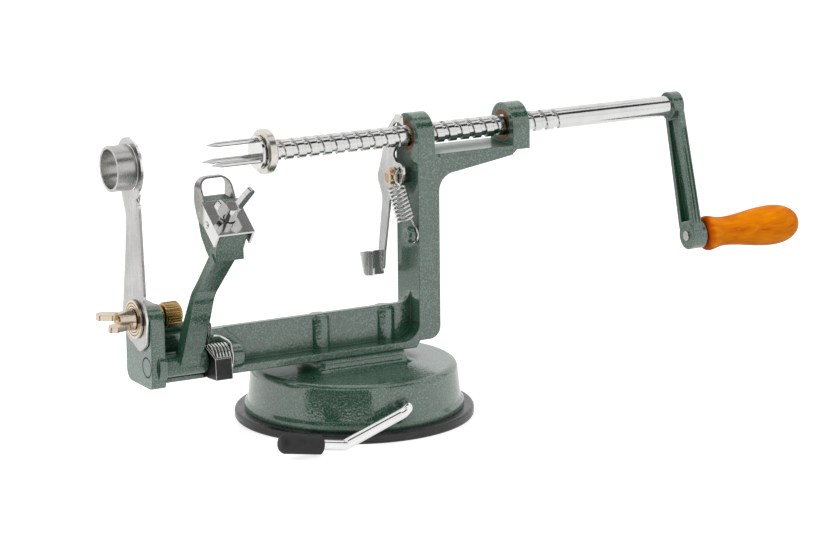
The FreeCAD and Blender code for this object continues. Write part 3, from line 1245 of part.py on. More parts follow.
# Blade holder: bent sheet over the head, with a slot for the wing screw
holder_t = num("holder_thick")
gap = num("seat_gap")
cheek_in = num("head_half + seat_gap + blade_thick + 2 * run_gap")
cheek_out = cheek_in + holder_t
top = Part.makeBox(2 * cheek_out, 2 * half_seat + 0.4, holder_t, Vector(-cheek_out, -half_seat - 0.2, gap))
holder = top
deep = num("holder_deep")
for side in (-1, 1):
    inner = side * cheek_in if side > 0 else -cheek_out
    holder = holder.fuse(Part.makeBox(holder_t, 2 * half_seat + 0.4, deep + holder_t,
                                      Vector(inner, -half_seat - 0.2, gap - deep)))
slot_r = num("wing_screw_rad + seat_gap")
play = num("slot_play + seat_gap")
for shift in (-play, play):
    holder = holder.cut(Part.makeCylinder(slot_r, 6, Vector(0, shift, -1)))
holder = holder.cut(Part.makeBox(2 * slot_r, 2 * play, 6, Vector(-slot_r, -play, -1)))
rivet_at = Vector(0, 0.6, -3.0)
for side in (-1, 1):
    holder = holder.cut(Part.makeCylinder(
        num("rivet_rad + fit_gap"), 3, Vector(side * (cheek_in - 1), rivet_at.y, rivet_at.z), Vector(side, 0, 0)))
own_shape("blade_bracket", holder.removeSplitter(), seat_frame)

# Peeling blade: one strip bent to a stirrup, its legs inside the holder's cheeks
blade_t = num("blade_thick")
leg_out = cheek_in - num("run_gap")
leg_in = leg_out - blade_t
mid_x = num("head_mid_x")
arch_top = num("blade_top")
corner_r = num("blade_round")
low = seat.z - 12
outer = rounded_face([
    (-leg_out, low, 0.0), (leg_out, low, 0.0), (leg_out, arch_top, corner_r), (-leg_out, arch_top, corner_r)])
inner = rounded_face([
    (-leg_in, low - 1, 0.0), (leg_in, low - 1, 0.0),
    (leg_in, arch_top - blade_t, corner_r - blade_t), (-leg_in, arch_top - blade_t, corner_r - blade_t)])
stirrup = outer.cut(inner).extrude(Vector(0, 0, 60))
stirrup.Placement = FreeCAD.Placement(Vector(mid_x, 0, 0), FreeCAD.Rotation(Vector(1, 0, 0), 90))
# Seen from the side the blade leans back and narrows to its arch.
rivet_spot = seat_frame.multVec(rivet_at)
fin = sheet_across([
    (-36.2, arch_top + 2, 0.0), (-37.3, arch_top + 2, 0.0), (-45.2, 114.8, 8.0), (-48.2, 111.0, 2.0),
    (rivet_spot.y - 3.4, rivet_spot.z + 1.0, 2.0), (rivet_spot.y + 0.6, rivet_spot.z - 3.4, 2.0),
    (-38.2, 106.6, 4.0), (-34.6, 114.0, 9.0), (-35.2, 120.5, 6.0),
], mid_x - 20, 40)
stirrup = stirrup.common(fin)
# The legs stay below the holder's plate and rise behind its upper end.
clear = Part.makeBox(2 * cheek_out + 2, 2 * half_seat + 1.0, 10, Vector(-cheek_out - 1, -half_seat - 0.5, gap - 0.1))
clear.Placement = seat_frame
stirrup = stirrup.cut(clear)
rivet_r = num("rivet_rad")
for side in (-1, 1):
    stirrup = stirrup.cut(Part.makeCylinder(rivet_r + num("fit_gap"), 3, Vector(
        mid_x + side * (leg_in - 1), rivet_spot.y, rivet_spot.z), Vector(side, 0, 0)))
own_shape("peeling_blade", stirrup.removeSplitter())

# Rivets through cheeks and legs, one on each side
rivets = []
for side in (-1, 1):
    shank_at = Vector(side * leg_in, rivet_at.y, rivet_at.z)
    shank = Part.makeCylinder(rivet_r, cheek_out + 0.05 - leg_in, shank_at, Vector(side, 0, 0))
    cap_at = Vector(side * (cheek_out + 0.03), rivet_at.y, rivet_at.z)
    cap = Part.makeCone(num("rivet_head_rad"), num("rivet_head_rad") * 0.55, 0.6, cap_at, Vector(side, 0, 0))
    rivets.append(shank.fuse(cap))
own_shape("blade_rivets", Part.makeCompound(rivets), seat_frame)

# Wing screw that clamps the holder on the seat
wing_low = gap + holder_t + gap
reach = num("wing_reach")
high = num("wing_high")
hub_r = num("wing_hub_rad")
hub_h = num("wing_hub_high")
screw_deep = num("wing_screw_deep")
screw = Part.makeCylinder(num("wing_screw_rad"), screw_deep + wing_low, Vector(0, 0, -screw_deep))
screw = screw.fuse(Part.makeCone(hub_r, hub_r * 0.8, hub_h, Vector(0, 0, wing_low)))
wings = rounded_face([
    (-hub_r * 0.7, wing_low + 0.6, 0.5), (hub_r * 0.7, wing_low + 0.6, 0.5), (hub_r + 2.2, wing_low + 2.6, 3.0),
    (reach, high - 2.0, 2.0), (reach - 2.4, high + 1.0, 1.6), (reach - 5.4, high - 2.0, 2.0),
    (2.2, hub_h + 0.6, 1.0), (-2.2, hub_h + 0.6, 1.0),
    (-reach + 5.4, high - 2.0, 2.0), (-reach + 2.4, high + 1.0, 1.6), (-reach, high - 2.0, 2.0),
    (-hub_r - 2.2, wing_low + 2.6, 3.0),
])
wings = wings.extrude(Vector(0, 0, num("wing_thick")))
wings.Placement = FreeCAD.Placement(Vector(0, num("wing_thick") / 2, 0), FreeCAD.Rotation(Vector(1, 0, 0), 90))
own_shape("wing_screw", screw.fuse(wings).removeSplitter(), seat_frame.multiply(
    FreeCAD.Placement(Vector(), FreeCAD.Rotation(Vector(0, 0, 1), num("wing_turn")))))

# Slicing blade: sheet on the end block with a bent edge and a land round the ring
slicer_x = num("block_x - seat_gap - slicer_thick")
slicer_t = num("slicer_thick")
land = num("ring_rad + ring_land")
fold_low = Vector(0, -10.6, 68.2)
fold_high = Vector(0, -6.4, 102.2)
flat = sheet_across([
    (-13.2, 47.8, 3.0), (-7.0, 44.0, 4.0), (6.4, 48.6, 7.0), (10.2, 58.5, 6.0), (5.8, 86.0, 20.0),
    (4.0, 103.0, 10.0), (9.0, 114.0, 6.0), (0.0, axis_z, 0.0), (-9.5, 114.0, 0.0), (-6.4, 102.2, 0.0),
    (fold_low.y, fold_low.z, 0.0), (-14.4, 59.0, 6.0),
], slicer_x, slicer_t)
flat = flat.fuse(rod_x(slicer_x, slicer_x + slicer_t, 0, axis_z, land))
edge = sheet_across([
    (-10.4, 68.0, 0.0), (-6.0, 102.0, 0.0), (-8.6, 112.6, 0.0), (-13.9, 111.0, 3.0), (-14.4, 69.4, 1.0),
], slicer_x, slicer_t)
edge.rotate(fold_low + Vector(slicer_x, 0, 0), fold_low - fold_high, num("slicer_bend"))
slicer = flat.fuse(edge)
slicer = slicer.cut(rod_x(slicer_x - 8, slicer_x + slicer_t + 8, 0, axis_z, num("ring_rad + fit_gap")))
slicer = slicer.cut(rod_x(slicer_x - 1, slicer_x + slicer_t + 1, num("bolt_y"), num("bolt_z"), num("bolt_rad + run_gap")))
own_shape("slicing_blade", slicer.removeSplitter())

# Coring ring in the slicing blade, with a sharp front edge
turned("coring_ring", [
    ("0", "ring_rad - ring_wall"),
    ("0", "ring_rad"),
    ("ring_long - 1.6", "ring_rad"),
    ("ring_long", "ring_rad - ring_wall + 0.2"),
    ("ring_long", "ring_rad - ring_wall"),
], at=("block_x - seat_gap - ring_long", "0", "shaft_high"))

# Bolt, washer and wing nut of the slicing blade
WASHER_X = "block_x - seat_gap - slicer_thick - seat_gap - washer_thick"
BOLT_SEAT = "block_x + block_thick + bolt_boss_high + fit_gap - bolt_tail_x"
head = turned("blade_bolt", [
    ("0", "0"),
    ("0", "bolt_rad"),
    (BOLT_SEAT, "bolt_rad"),
    (BOLT_SEAT, "bolt_neck_rad"),
    (BOLT_SEAT + " + bolt_neck_long", "bolt_neck_rad"),
    (BOLT_SEAT + " + bolt_neck_long + 0.6", "bolt_head_rad"),
    (BOLT_SEAT + " + bolt_head_long", "bolt_head_rad"),
    (BOLT_SEAT + " + bolt_head_long", "0"),
], at=("bolt_tail_x", "bolt_y", "bolt_z"))
soften(head, "bolt_head_rad * 0.36", [("-bolt_head_rad", "0", BOLT_SEAT + " + bolt_head_long")])
turned("blade_washer", [
    ("0", "bolt_rad + fit_gap"),
    ("0", "washer_rad"),
    ("washer_thick", "washer_rad"),
    ("washer_thick", "bolt_rad + fit_gap"),
], at=(WASHER_X, "bolt_y", "bolt_z"))
nut_x = num(WASHER_X + " - seat_gap")
hub_r = num("nut_hub_rad")
hub_l = num("nut_hub_long")
reach = num("nut_wing_reach")
flare = num("nut_wing_flare")
nut = Part.makeCone(hub_r * 1.25, hub_r, hub_l, Vector(0, 0, 0), Vector(0, 0, 1))
wings = rounded_face([
    (-hub_r, 0.6, 0.5), (hub_r, 0.6, 0.5), (reach - 1.2, hub_l * 0.8, 4.0), (reach, flare - 3.0, 3.0),
    (reach - 1.0, flare, 1.6), (reach - 3.6, flare - 0.8, 1.6), (hub_r * 0.8, hub_l, 2.0),
    (-hub_r * 0.8, hub_l, 2.0), (-reach + 3.6, flare - 0.8, 1.6), (-reach + 1.0, flare, 1.6),
    (-reach, flare - 3.0, 3.0), (-reach + 1.2, hub_l * 0.8, 4.0),
])
wings = wings.extrude(Vector(0, 0, num("nut_wing_thick")))
wings.Placement = FreeCAD.Placement(Vector(0, num("nut_wing_thick") / 2, 0), FreeCAD.Rotation(Vector(1, 0, 0), 90))
nut = nut.fuse(wings)
nut = nut.cut(Part.makeCylinder(num("bolt_rad + run_gap"), flare + 4, Vector(0, 0, -1)))
nut_stand = FreeCAD.Rotation(Vector(0, 1, 0), Vector(0, 0, 1), Vector(-1, 0, 0), "ZXY")
own_shape("wing_nut", nut.removeSplitter(), FreeCAD.Placement(
    point("0", "bolt_y", "bolt_z") + Vector(nut_x, 0, 0),
    FreeCAD.Rotation(Vector(1, 0, 0), num("nut_turn")).multiply(nut_stand)))

# Checks and files
doc.recompute()
PIECES = [o for o in doc.Objects if o.TypeId in ("PartDesign::Body", "Part::Feature") and o.Label != "one_base_screw"]
failed = [o.Name for o in doc.Objects if "Invalid" in o.State or "Error" in o.State]
if failed:
    raise ValueError("failed objects: %s" % failed)
for piece in PIECES:
    if piece.Shape.isNull() or not piece.Shape.isValid():
        raise ValueError("bad shape: %s" % piece.Label)
for piece in PIECES:
    piece.Shape.exportStep("parts/%s.step" % piece.Label)
    box = piece.Shape.BoundBox
    print("%-16s solids %d  volume %9.1f  X %7.1f %7.1f  Y %6.1f %6.1f  Z %6.1f %6.1f" % (
        piece.Label, len(piece.Shape.Solids), piece.Shape.Volume,
        box.XMin, box.XMax, box.YMin, box.YMax, box.ZMin, box.ZMax))
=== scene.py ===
# Hand cranked peeler on a suction base: finishes, small fittings, light and camera.
# Lengths are in metres. X runs along the shaft towards the crank, Z is up, and
# the camera stands in front (-Y) and a little to the left.

import json
import math

import bpy
from mathutils import Matrix, Vector


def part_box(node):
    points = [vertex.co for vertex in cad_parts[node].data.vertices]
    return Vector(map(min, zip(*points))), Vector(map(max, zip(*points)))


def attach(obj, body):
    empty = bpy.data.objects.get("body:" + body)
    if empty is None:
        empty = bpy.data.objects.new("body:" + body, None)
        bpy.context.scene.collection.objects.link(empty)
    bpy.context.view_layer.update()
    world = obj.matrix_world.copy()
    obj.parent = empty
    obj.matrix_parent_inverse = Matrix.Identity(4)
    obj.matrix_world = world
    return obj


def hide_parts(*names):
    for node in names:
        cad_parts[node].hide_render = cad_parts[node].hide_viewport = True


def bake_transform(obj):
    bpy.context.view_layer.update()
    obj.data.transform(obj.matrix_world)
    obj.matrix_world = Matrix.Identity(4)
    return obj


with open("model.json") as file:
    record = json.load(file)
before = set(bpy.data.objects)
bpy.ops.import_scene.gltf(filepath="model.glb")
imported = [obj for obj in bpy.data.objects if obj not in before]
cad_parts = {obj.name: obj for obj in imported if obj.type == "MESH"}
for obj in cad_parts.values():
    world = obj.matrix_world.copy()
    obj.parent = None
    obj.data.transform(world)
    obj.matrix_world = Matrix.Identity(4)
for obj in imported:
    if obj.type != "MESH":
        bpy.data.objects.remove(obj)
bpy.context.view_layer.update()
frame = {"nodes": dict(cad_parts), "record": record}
nodes = frame["nodes"]
scene = bpy.context.scene

MM = 0.001
WHITE = (1.0, 1.0, 1.0, 1.0)

# Most of a noise lies between these two values.
LOW = 0.3
HIGH = 0.7

# Places of the colour sockets on a Mix node
MIX_LOW = 6
MIX_HIGH = 7
MIX_RESULT = 2

BEVEL_SAMPLES = 6
CORNER_SAMPLES = 8

# Cosine between the true and the rounded normal, on a flat place and on a worn edge
FLAT_COSINE = 0.99
EDGE_COSINE = 0.85


# Shader helpers

def is_socket(value):
    """Whether a value comes from another shader node."""
    return isinstance(value, bpy.types.NodeSocket)


class Net:
    """The nodes of one material or world."""

    def __init__(self, tree):
        self.tree = tree

    def put(self, socket, value):
        """Joins a source to a socket, or sets the socket's plain value."""
        if is_socket(value):
            self.tree.links.new(value, socket)
        else:
            socket.default_value = value

    def node(self, kind, inputs=(), **settings):
        made = self.tree.nodes.new("ShaderNode" + kind)
        for name, value in settings.items():
            setattr(made, name, value)
        for name, value in dict(inputs).items():
            self.put(made.inputs[name], value)
        return made

    def compute(self, operation, first, second=0.0):
        return self.node("Math", {0: first, 1: second}, operation=operation).outputs[0]

    def times(self, first, second):
        return self.compute("MULTIPLY", first, second)

    def plus(self, first, second):
        return self.compute("ADD", first, second)

    def larger(self, first, second):
        return self.compute("MAXIMUM", first, second)

    def band(self, value, low, high, to_low=0.0, to_high=1.0):
        """value from low..high brought to to_low..to_high, held at the ends."""
        made = self.node("MapRange", {
            "Value": value,
            "From Min": low,
            "From Max": high,
            "To Min": to_low,
            "To Max": to_high,
        })
        return made.outputs["Result"]


class Finish(Net):
    """One finish under construction: a principled shader and what feeds it."""

    def __init__(self, name, colour, roughness, metallic=0.0):
        self.material = bpy.data.materials.new(name)
        self.material.use_nodes = True
        super().__init__(self.material.node_tree)
        self.shader = self.tree.nodes["Principled BSDF"]
        self.where = self.node("TexCoord").outputs["Object"]
        self.give("Base Color", (*colour, 1.0))
        self.give("Roughness", roughness)
        self.give("Metallic", metallic)

    def give(self, socket, value):
        self.put(self.shader.inputs[socket], value)

    def stretched(self, scale):
        """Coordinates that are squeezed along one direction, for grain."""
        return self.node("Mapping", {"Vector": self.where, "Scale": scale}).outputs["Vector"]

    def noise(self, size, detail=3.0, rough=0.5, where=None, distortion=0.0):
        """Cloudy value from 0 to 1 whose blotches are about size metres across."""
        made = self.node("TexNoise", {
            "Vector": where or self.where,
            "Scale": 1.0 / size,
            "Detail": detail,
            "Roughness": rough,
            "Distortion": distortion,
        })
        return made.outputs["Fac"]

    def cells(self, size, feature="SMOOTH_F1", where=None):
        """Distance from the middle of the nearest of many cells, about size metres apart."""
        inputs = {"Vector": where or self.where, "Scale": 1.0 / size}
        return self.node("TexVoronoi", inputs, feature=feature).outputs["Distance"]

    def blend(self, share, low, high):
        """A colour between low and high, which are plain colours or sockets."""
        made = self.node("Mix", {"Factor": share}, data_type="RGBA")
        for spot, colour in ((MIX_LOW, low), (MIX_HIGH, high)):
            self.put(made.inputs[spot], colour if is_socket(colour) else (*colour, 1.0))
        return made.outputs[MIX_RESULT]

    def rounded(self, radius):
        """Normals of edges that are rounded by a radius in metres."""
        return self.node("Bevel", {"Radius": radius}, samples=BEVEL_SAMPLES).outputs["Normal"]

    def worn(self, radius):
        """1 on outside edges and 0 on flat places."""
        flat = self.node("NewGeometry").outputs["Normal"]
        turn = self.node("VectorMath", {0: self.rounded(radius), 1: flat}, operation="DOT_PRODUCT")
        return self.band(turn.outputs["Value"], FLAT_COSINE, EDGE_COSINE)

    def relief(self, height, depth, strength, edge=0.0):
        """Bumps of a depth in metres, on edges that are rounded by edge metres."""
        bump = self.node("Bump", {"Height": height, "Strength": strength, "Distance": depth})
        if edge:
            self.put(bump.inputs["Normal"], self.rounded(edge))
        self.give("Normal", bump.outputs["Normal"])
        if self.shader.inputs["Coat Weight"].default_value:
            self.give("Coat Normal", bump.outputs["Normal"])


# Finishes

def green_paint(name, coat_index):
    """Hammer finish enamel: dark green with a fine pale fleck, under a hard and pebbled clear skin.
    In corners the fleck and the clear skin are turned down, as painted shade, and outer edges get the pale
    fleck colour as a painted highlight."""
    deep_green = (0.005, 0.046, 0.021)
    mid_green = (0.012, 0.074, 0.038)
    pale_fleck_and_highlight = (0.20, 0.31, 0.25)
    fleck_share = 0.66
    edge_highlight_share = 0.42
    fleck_metal = 0.6
    shaded_corner_coat = 0.25
    f = Finish(name, (0.008, 0.045, 0.022), 0.45)
    f.give("Specular IOR Level", 0.2)
    f.give("Coat Weight", 1.0)
    f.give("Coat Roughness", 0.10)
    f.give("Coat IOR", coat_index)
    pebbles = f.cells(1.05 * MM)
    grain = f.noise(0.62 * MM, rough=0.65)
    cloud = f.noise(9 * MM, rough=0.55)
    dark = f.blend(f.band(cloud, LOW, HIGH), deep_green, mid_green)
    # Ambient occlusion turns down the clear skin and the fleck in corners: painted shade
    openness = f.node("AmbientOcclusion", {"Distance": 8 * MM}, samples=CORNER_SAMPLES).outputs["AO"]
    clear = f.band(openness, 0.38, 0.86)
    f.give("Coat Weight", f.band(clear, 0.0, 1.0, to_low=shaded_corner_coat))
    fleck = f.times(f.times(f.band(grain, 0.50, 0.62), fleck_share), clear)
    # Outer edges get the pale fleck colour: a painted highlight along rounded edges
    pale = f.larger(fleck, f.times(f.worn(0.45 * MM), edge_highlight_share))
    f.give("Base Color", f.blend(pale, dark, pale_fleck_and_highlight))
    f.give("Metallic", f.times(pale, fleck_metal))
    f.relief(f.plus(pebbles, f.times(grain, 0.22)), 0.085 * MM, strength=0.55, edge=0.7 * MM)
    return f.material


def gap_shadow_paint():
    """Nearly black colour for a narrow gap: painted shadow in the gap."""
    black_green = (0.002, 0.006, 0.004)
    less_black_green = (0.008, 0.020, 0.014)
    f = Finish("gap_shadow_paint", (0.004, 0.010, 0.007), 0.7)
    f.give("Base Color", f.blend(f.noise(1.2 * MM), black_green, less_black_green))
    return f.material


def bright_metal(name, colour, roughness, spread, grain=None, depth=0.004 * MM):
    """Plated or polished metal: a cloudy sheen, fine marks and softened edges."""
    least_roughness = 0.02
    dull = tuple(0.90 * part for part in colour)
    clean = tuple(min(1.0, 1.04 * part) for part in colour)
    f = Finish(name, colour, roughness, 1.0)
    sheen = f.noise(9 * MM, detail=4.0, rough=0.6)
    marks = f.noise(0.9 * MM, detail=4.0, rough=0.65, where=f.stretched(grain) if grain else None)
    f.give("Base Color", f.blend(f.band(sheen, LOW, HIGH), dull, clean))
    both = f.plus(f.times(sheen, 0.5), f.times(marks, 0.5))
    smooth = max(least_roughness, roughness - spread)
    f.give("Roughness", f.band(both, LOW, HIGH, to_low=smooth, to_high=roughness + spread))
    f.relief(marks, depth, strength=0.35, edge=0.25 * MM)
    return f.material


def ground_blade():
    """Brushed sheet. Faces that lean along Y, the bent edge and the cut sides, get a near-white colour:
    partly bright grinding, partly a painted highlight on the bent facet.
    """
    dull_sheet = (0.42, 0.415, 0.405)
    clean_sheet = (0.60, 0.595, 0.585)
    ground_and_highlight = (0.93, 0.92, 0.90)
    f = Finish("ground_blade", (0.5, 0.5, 0.49), 0.27, 1.0)
    facing = f.node("TexCoord").outputs["Normal"]
    lean = f.node("SeparateXYZ", {"Vector": facing}).outputs["Y"]
    # Faces that lean along Y are coloured near white: bright grinding on the cut sides and a painted
    # highlight on the bent facet
    bent_facet_highlight = f.band(f.compute("ABSOLUTE", lean), 0.05, 0.10)
    brush = f.noise(0.9 * MM, detail=4.0, rough=0.65, where=f.stretched((1.0, 1.0, 0.06)))
    blotch = f.noise(16 * MM, rough=0.6)
    plate = f.blend(f.band(f.plus(brush, blotch), 0.75, 1.25), dull_sheet, clean_sheet)
    f.give("Base Color", f.blend(bent_facet_highlight, plate, ground_and_highlight))
    f.give("Roughness", f.band(brush, LOW, HIGH, to_low=0.20, to_high=0.34))
    f.relief(brush, 0.012 * MM, strength=0.35, edge=0.2 * MM)
    return f.material


def black_rubber():
    """Moulded rubber with a worn shine and a little dust."""
    clean_rubber = (0.006, 0.0065, 0.006)
    dusty_rubber = (0.024, 0.026, 0.024)
    f = Finish("black_rubber", (0.016, 0.017, 0.016), 0.3)
    f.give("Specular IOR Level", 0.55)
    dust = f.noise(5 * MM, detail=5.0, rough=0.65)
    skin = f.noise(0.7 * MM, rough=0.6)
    f.give("Base Color", f.blend(f.band(dust, 0.45, 0.8), clean_rubber, dusty_rubber))
    f.give("Roughness", f.band(f.plus(dust, skin), 0.7, 1.3, to_low=0.14, to_high=0.40))
    f.relief(skin, 0.03 * MM, strength=0.5, edge=0.5 * MM)
    return f.material


def sleeve_rubber():
    """Matt dipped sleeve."""
    clean_sleeve = (0.014, 0.014, 0.014)
    dusty_sleeve = (0.034, 0.034, 0.034)
    f = Finish("sleeve_rubber", (0.02, 0.02, 0.02), 0.6)
    f.give("Specular IOR Level", 0.4)
    skin = f.cells(0.7 * MM)
    dust = f.noise(4 * MM, detail=4.0, rough=0.6)
    f.give("Base Color", f.blend(f.band(dust, 0.4, 0.75), clean_sleeve, dusty_sleeve))
    f.give("Roughness", f.band(dust, LOW, HIGH, to_low=0.48, to_high=0.70))
    f.relief(skin, 0.06 * MM, strength=0.6, edge=0.4 * MM)
    return f.material


def black_steel():
    """Blued sheet, bright where it was cut."""
    blued = (0.014, 0.014, 0.016)
    rubbed = (0.045, 0.045, 0.048)
    cut_steel = (0.80, 0.78, 0.74)
    f = Finish("black_steel", (0.02, 0.02, 0.022), 0.34, 0.6)
    edge = f.worn(0.6 * MM)
    cloud = f.noise(3 * MM, detail=4.0, rough=0.6)
    body = f.blend(f.band(cloud, 0.35, 0.75), blued, rubbed)
    f.give("Base Color", f.blend(edge, body, cut_steel))
    f.give("Metallic", f.band(edge, 0.0, 1.0, to_low=0.55))
    f.give("Roughness", f.band(cloud, LOW, HIGH, to_low=0.28, to_high=0.46))
    f.relief(cloud, 0.02 * MM, strength=0.4)
    return f.material


def varnished_wood():
    """Stained and varnished beech: grain along X under a clear coat, darker red near the flange end."""
    red_grain = (0.58, 0.070, 0.0006)
    orange = (1.0, 0.345, 0.001)
    fibre_brown = (0.84, 0.22, 0.001)
    ray_brown = (0.46, 0.07, 0.001)
    flange_end_red = (0.46, 0.040, 0.001)
    ray_share = 0.30
    flange_end_share = 0.75
    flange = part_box("handle_grip")[0][0]
    flange_end_from = flange + 2.6 * MM
    flange_end_to = flange + 5.2 * MM
    f = Finish("varnished_wood", (0.66, 0.18, 0.004), 0.5)
    f.give("Specular IOR Level", 0.0)
    f.give("Coat Weight", 0.22)
    f.give("Coat Roughness", 0.08)
    f.give("Coat IOR", 1.32)
    figure = f.noise(6 * MM, 4.0, 0.6, f.stretched((0.26, 1.0, 1.0)), distortion=1.2)
    fibre = f.noise(0.9 * MM, 4.0, 0.65, f.stretched((0.06, 1.0, 1.0)))
    flecks = f.cells(1.9 * MM, "F1", f.stretched((0.22, 1.0, 1.0)))
    rays = f.band(flecks, 0.0, 0.16, to_low=1.0, to_high=0.0)
    tone = f.blend(f.band(figure, 0.32, 0.66), red_grain, orange)
    fine = f.blend(f.band(fibre, 0.35, 0.72), tone, fibre_brown)
    plain = f.blend(f.times(rays, ray_share), fine, ray_brown)
    # Darker and redder over the first few millimetres from the flange
    along_x = f.node("SeparateXYZ", {"Vector": f.where}).outputs["X"]
    uneven = f.plus(along_x, f.times(figure, 4 * MM))
    flange_end = f.band(uneven, flange_end_from, flange_end_to, to_low=flange_end_share, to_high=0.0)
    f.give("Base Color", f.blend(flange_end, plain, flange_end_red))
    f.relief(f.plus(fibre, f.times(figure, 2.0)), 0.03 * MM, strength=0.35, edge=0.3 * MM)
    return f.material


finishes = {
    "green_paint": green_paint("green_paint", coat_index=2.05),
    # A duller copy of the same green paint, for painted shade on the peeling arm
    "shaded_arm_paint": green_paint("shaded_arm_paint", coat_index=1.7),
    "black_rubber": black_rubber(),
    "sleeve_rubber": sleeve_rubber(),
    "ground_blade": ground_blade(),
    "gap_shadow_paint": gap_shadow_paint(),
    "black_steel": black_steel(),
    "varnished_wood": varnished_wood(),
}

METALS = {
    "zinc_steel": dict(colour=(0.55, 0.55, 0.53), roughness=0.27, spread=0.09),
    "polished_steel": dict(colour=(0.70, 0.70, 0.69), roughness=0.10, spread=0.05),
    "bright_chrome": dict(colour=(0.86, 0.86, 0.85), roughness=0.08, spread=0.04),
    "shaft_steel": dict(colour=(0.72, 0.72, 0.71), roughness=0.13, spread=0.05, grain=(12.0, 1.0, 1.0)),
    "satin_nickel": dict(colour=(0.74, 0.70, 0.64), roughness=0.24, spread=0.07),
    "stamped_steel": dict(colour=(0.80, 0.80, 0.79), roughness=0.20, spread=0.07, grain=(1.0, 1.0, 0.15)),
    "blade_steel": dict(
        colour=(0.52, 0.515, 0.505), roughness=0.27, spread=0.07, grain=(1.0, 1.0, 0.06), depth=0.012 * MM
    ),
    "pale_brass": dict(colour=(0.70, 0.60, 0.48), roughness=0.17, spread=0.06),
    "yellow_brass": dict(colour=(0.56, 0.38, 0.15), roughness=0.22, spread=0.08),
    "warm_brass": dict(colour=(0.66, 0.50, 0.33), roughness=0.20, spread=0.07),
    "bronze": dict(colour=(0.20, 0.105, 0.045), roughness=0.38, spread=0.08),
}
for name, values in METALS.items():
    finishes[name] = bright_metal(name, **values)

# Nodes whose finish differs from that of their slot
OWN_FINISH = {
    "lead_screw": "shaft_steel",
    "lever_grip": "sleeve_rubber",
    "slicing_blade": "ground_blade",
    "release_nut": "warm_brass",
    # The peeling arm takes the duller copy of the green paint: painted shade
    "peeling_arm": "shaded_arm_paint",
    "suction_lever": "bright_chrome",
    "handle_pin": "satin_nickel",
}

for name, obj in nodes.items():
    slot = obj.material_slots[0]
    usual = slot.material.name.split(".")[0]
    slot.material = finishes[OWN_FINISH.get(name, usual)]


# Small fittings

STEPS_PER_TOOTH = 4
RAISED_STEPS = (1, 2)
RING_STEPS = 64
RIB_STEPS = 8
RIB_TIP = 0.3


def net_faces(rows, columns, closed=False):
    """Faces between rows of points; a closed net joins its last column to its first."""
    faces = []
    for row in range(rows - 1):
        near = row * columns
        far = near + columns
        for i in range(columns if closed else columns - 1):
            k = (i + 1) % columns
            faces.append((near + i, near + k, far + k, far + i))
    return faces


def fitting(name, verts, faces, look, body, smooth=True):
    """A piece in row coordinates that moves with a body."""
    mesh = bpy.data.meshes.new(name)
    mesh.from_pydata(verts, [], faces)
    mesh.materials.append(finishes[look])
    for polygon in mesh.polygons:
        polygon.use_smooth = smooth
    obj = bpy.data.objects.new(name, mesh)
    scene.collection.objects.link(obj)
    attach(obj, body)


def spun(name, centre, profile, look, body, teeth=0):
    """A ring about an axis along X. The profile holds (along, radius, tooth height) in metres."""
    steps = teeth * STEPS_PER_TOOTH or RING_STEPS
    verts = []
    for along, radius, tall in profile:
        for i in range(steps):
            angle = 2 * math.pi * i / steps
            r = radius + (tall if i % STEPS_PER_TOOTH in RAISED_STEPS else 0.0)
            y = centre[1] + r * math.cos(angle)
            z = centre[2] + r * math.sin(angle)
            verts.append((centre[0] + along, y, z))
    fitting(name, verts, net_faces(len(profile), steps, closed=True), look, body, smooth=not teeth)


def thin_ring(name, centre, radius, offsets, lift, look):
    """A low ring on a left face: its four edges lie off a radius by offsets, in millimetres."""
    heights = (0.0, -lift, -lift, 0.0)
    profile = [(height, radius + offset * MM, 0.0) for height, offset in zip(heights, offsets)]
    spun(name, centre, profile, look, "frame")


def rib(name, start, end, out, half, high, look, body):
    """A long half-round rib from start to end that stands out of its face."""
    along = (end - start).normalized()
    side = along.cross(out).normalized()
    stations = ((start, RIB_TIP), (start + half * along, 1.0), (end - half * along, 1.0), (end, RIB_TIP))
    verts = []
    for point, size in stations:
        for i in range(RIB_STEPS + 1):
            angle = math.pi * i / RIB_STEPS
            verts.append(point + half * size * math.cos(angle) * side + high * size * math.sin(angle) * out)
    fitting(name, verts, net_faces(len(stations), RIB_STEPS + 1), look, body)


def round_end(node, side):
    """(centre of the end face, radius) of a round node along X; side is 0 for its left end."""
    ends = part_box(node)
    low, high = ends
    centre = Vector((ends[side][0], (low[1] + high[1]) / 2, (low[2] + high[2]) / 2))
    return centre, (high[2] - low[2]) / 2


# Straight knurl on the head of the slicing blade's bolt
TOOTH = 0.45 * MM
SUNK = 0.05 * MM
end, head_radius = round_end("blade_bolt", 1)
spun("bolt_knurl", end, [
    (-7.8 * MM, head_radius - SUNK, 0.0),
    (-7.4 * MM, head_radius, TOOTH),
    (-1.4 * MM, head_radius, TOOTH),
    (-1.0 * MM, head_radius - SUNK, 0.0),
], "yellow_brass", "frame", teeth=26)

# Dark ring round the swing arm's shaft, in the left face of the end block: painted shadow in the gap round
# the shaft
end, shaft_radius = round_end("arm_shaft", 0)
thin_ring("shaft_gap_shadow", end, shaft_radius, (-0.25, -0.1, 0.25, 0.4), 0.05 * MM, "gap_shadow_paint")

# Cast beads along the crank's front edge: name, distance from the arm's left face, half width
# and start below the shaft's axis, in millimetres
BEADS = (
    ("near", 1.3, 0.55, 20),
    ("middle", 3.0, 0.75, 11),
    ("far", 4.5, 0.45, 11),
)
BEAD_HEIGHT = 0.62 * MM
EDGE_AHEAD = 6.15 * MM
SHORT_OF_PIN = 5 * MM

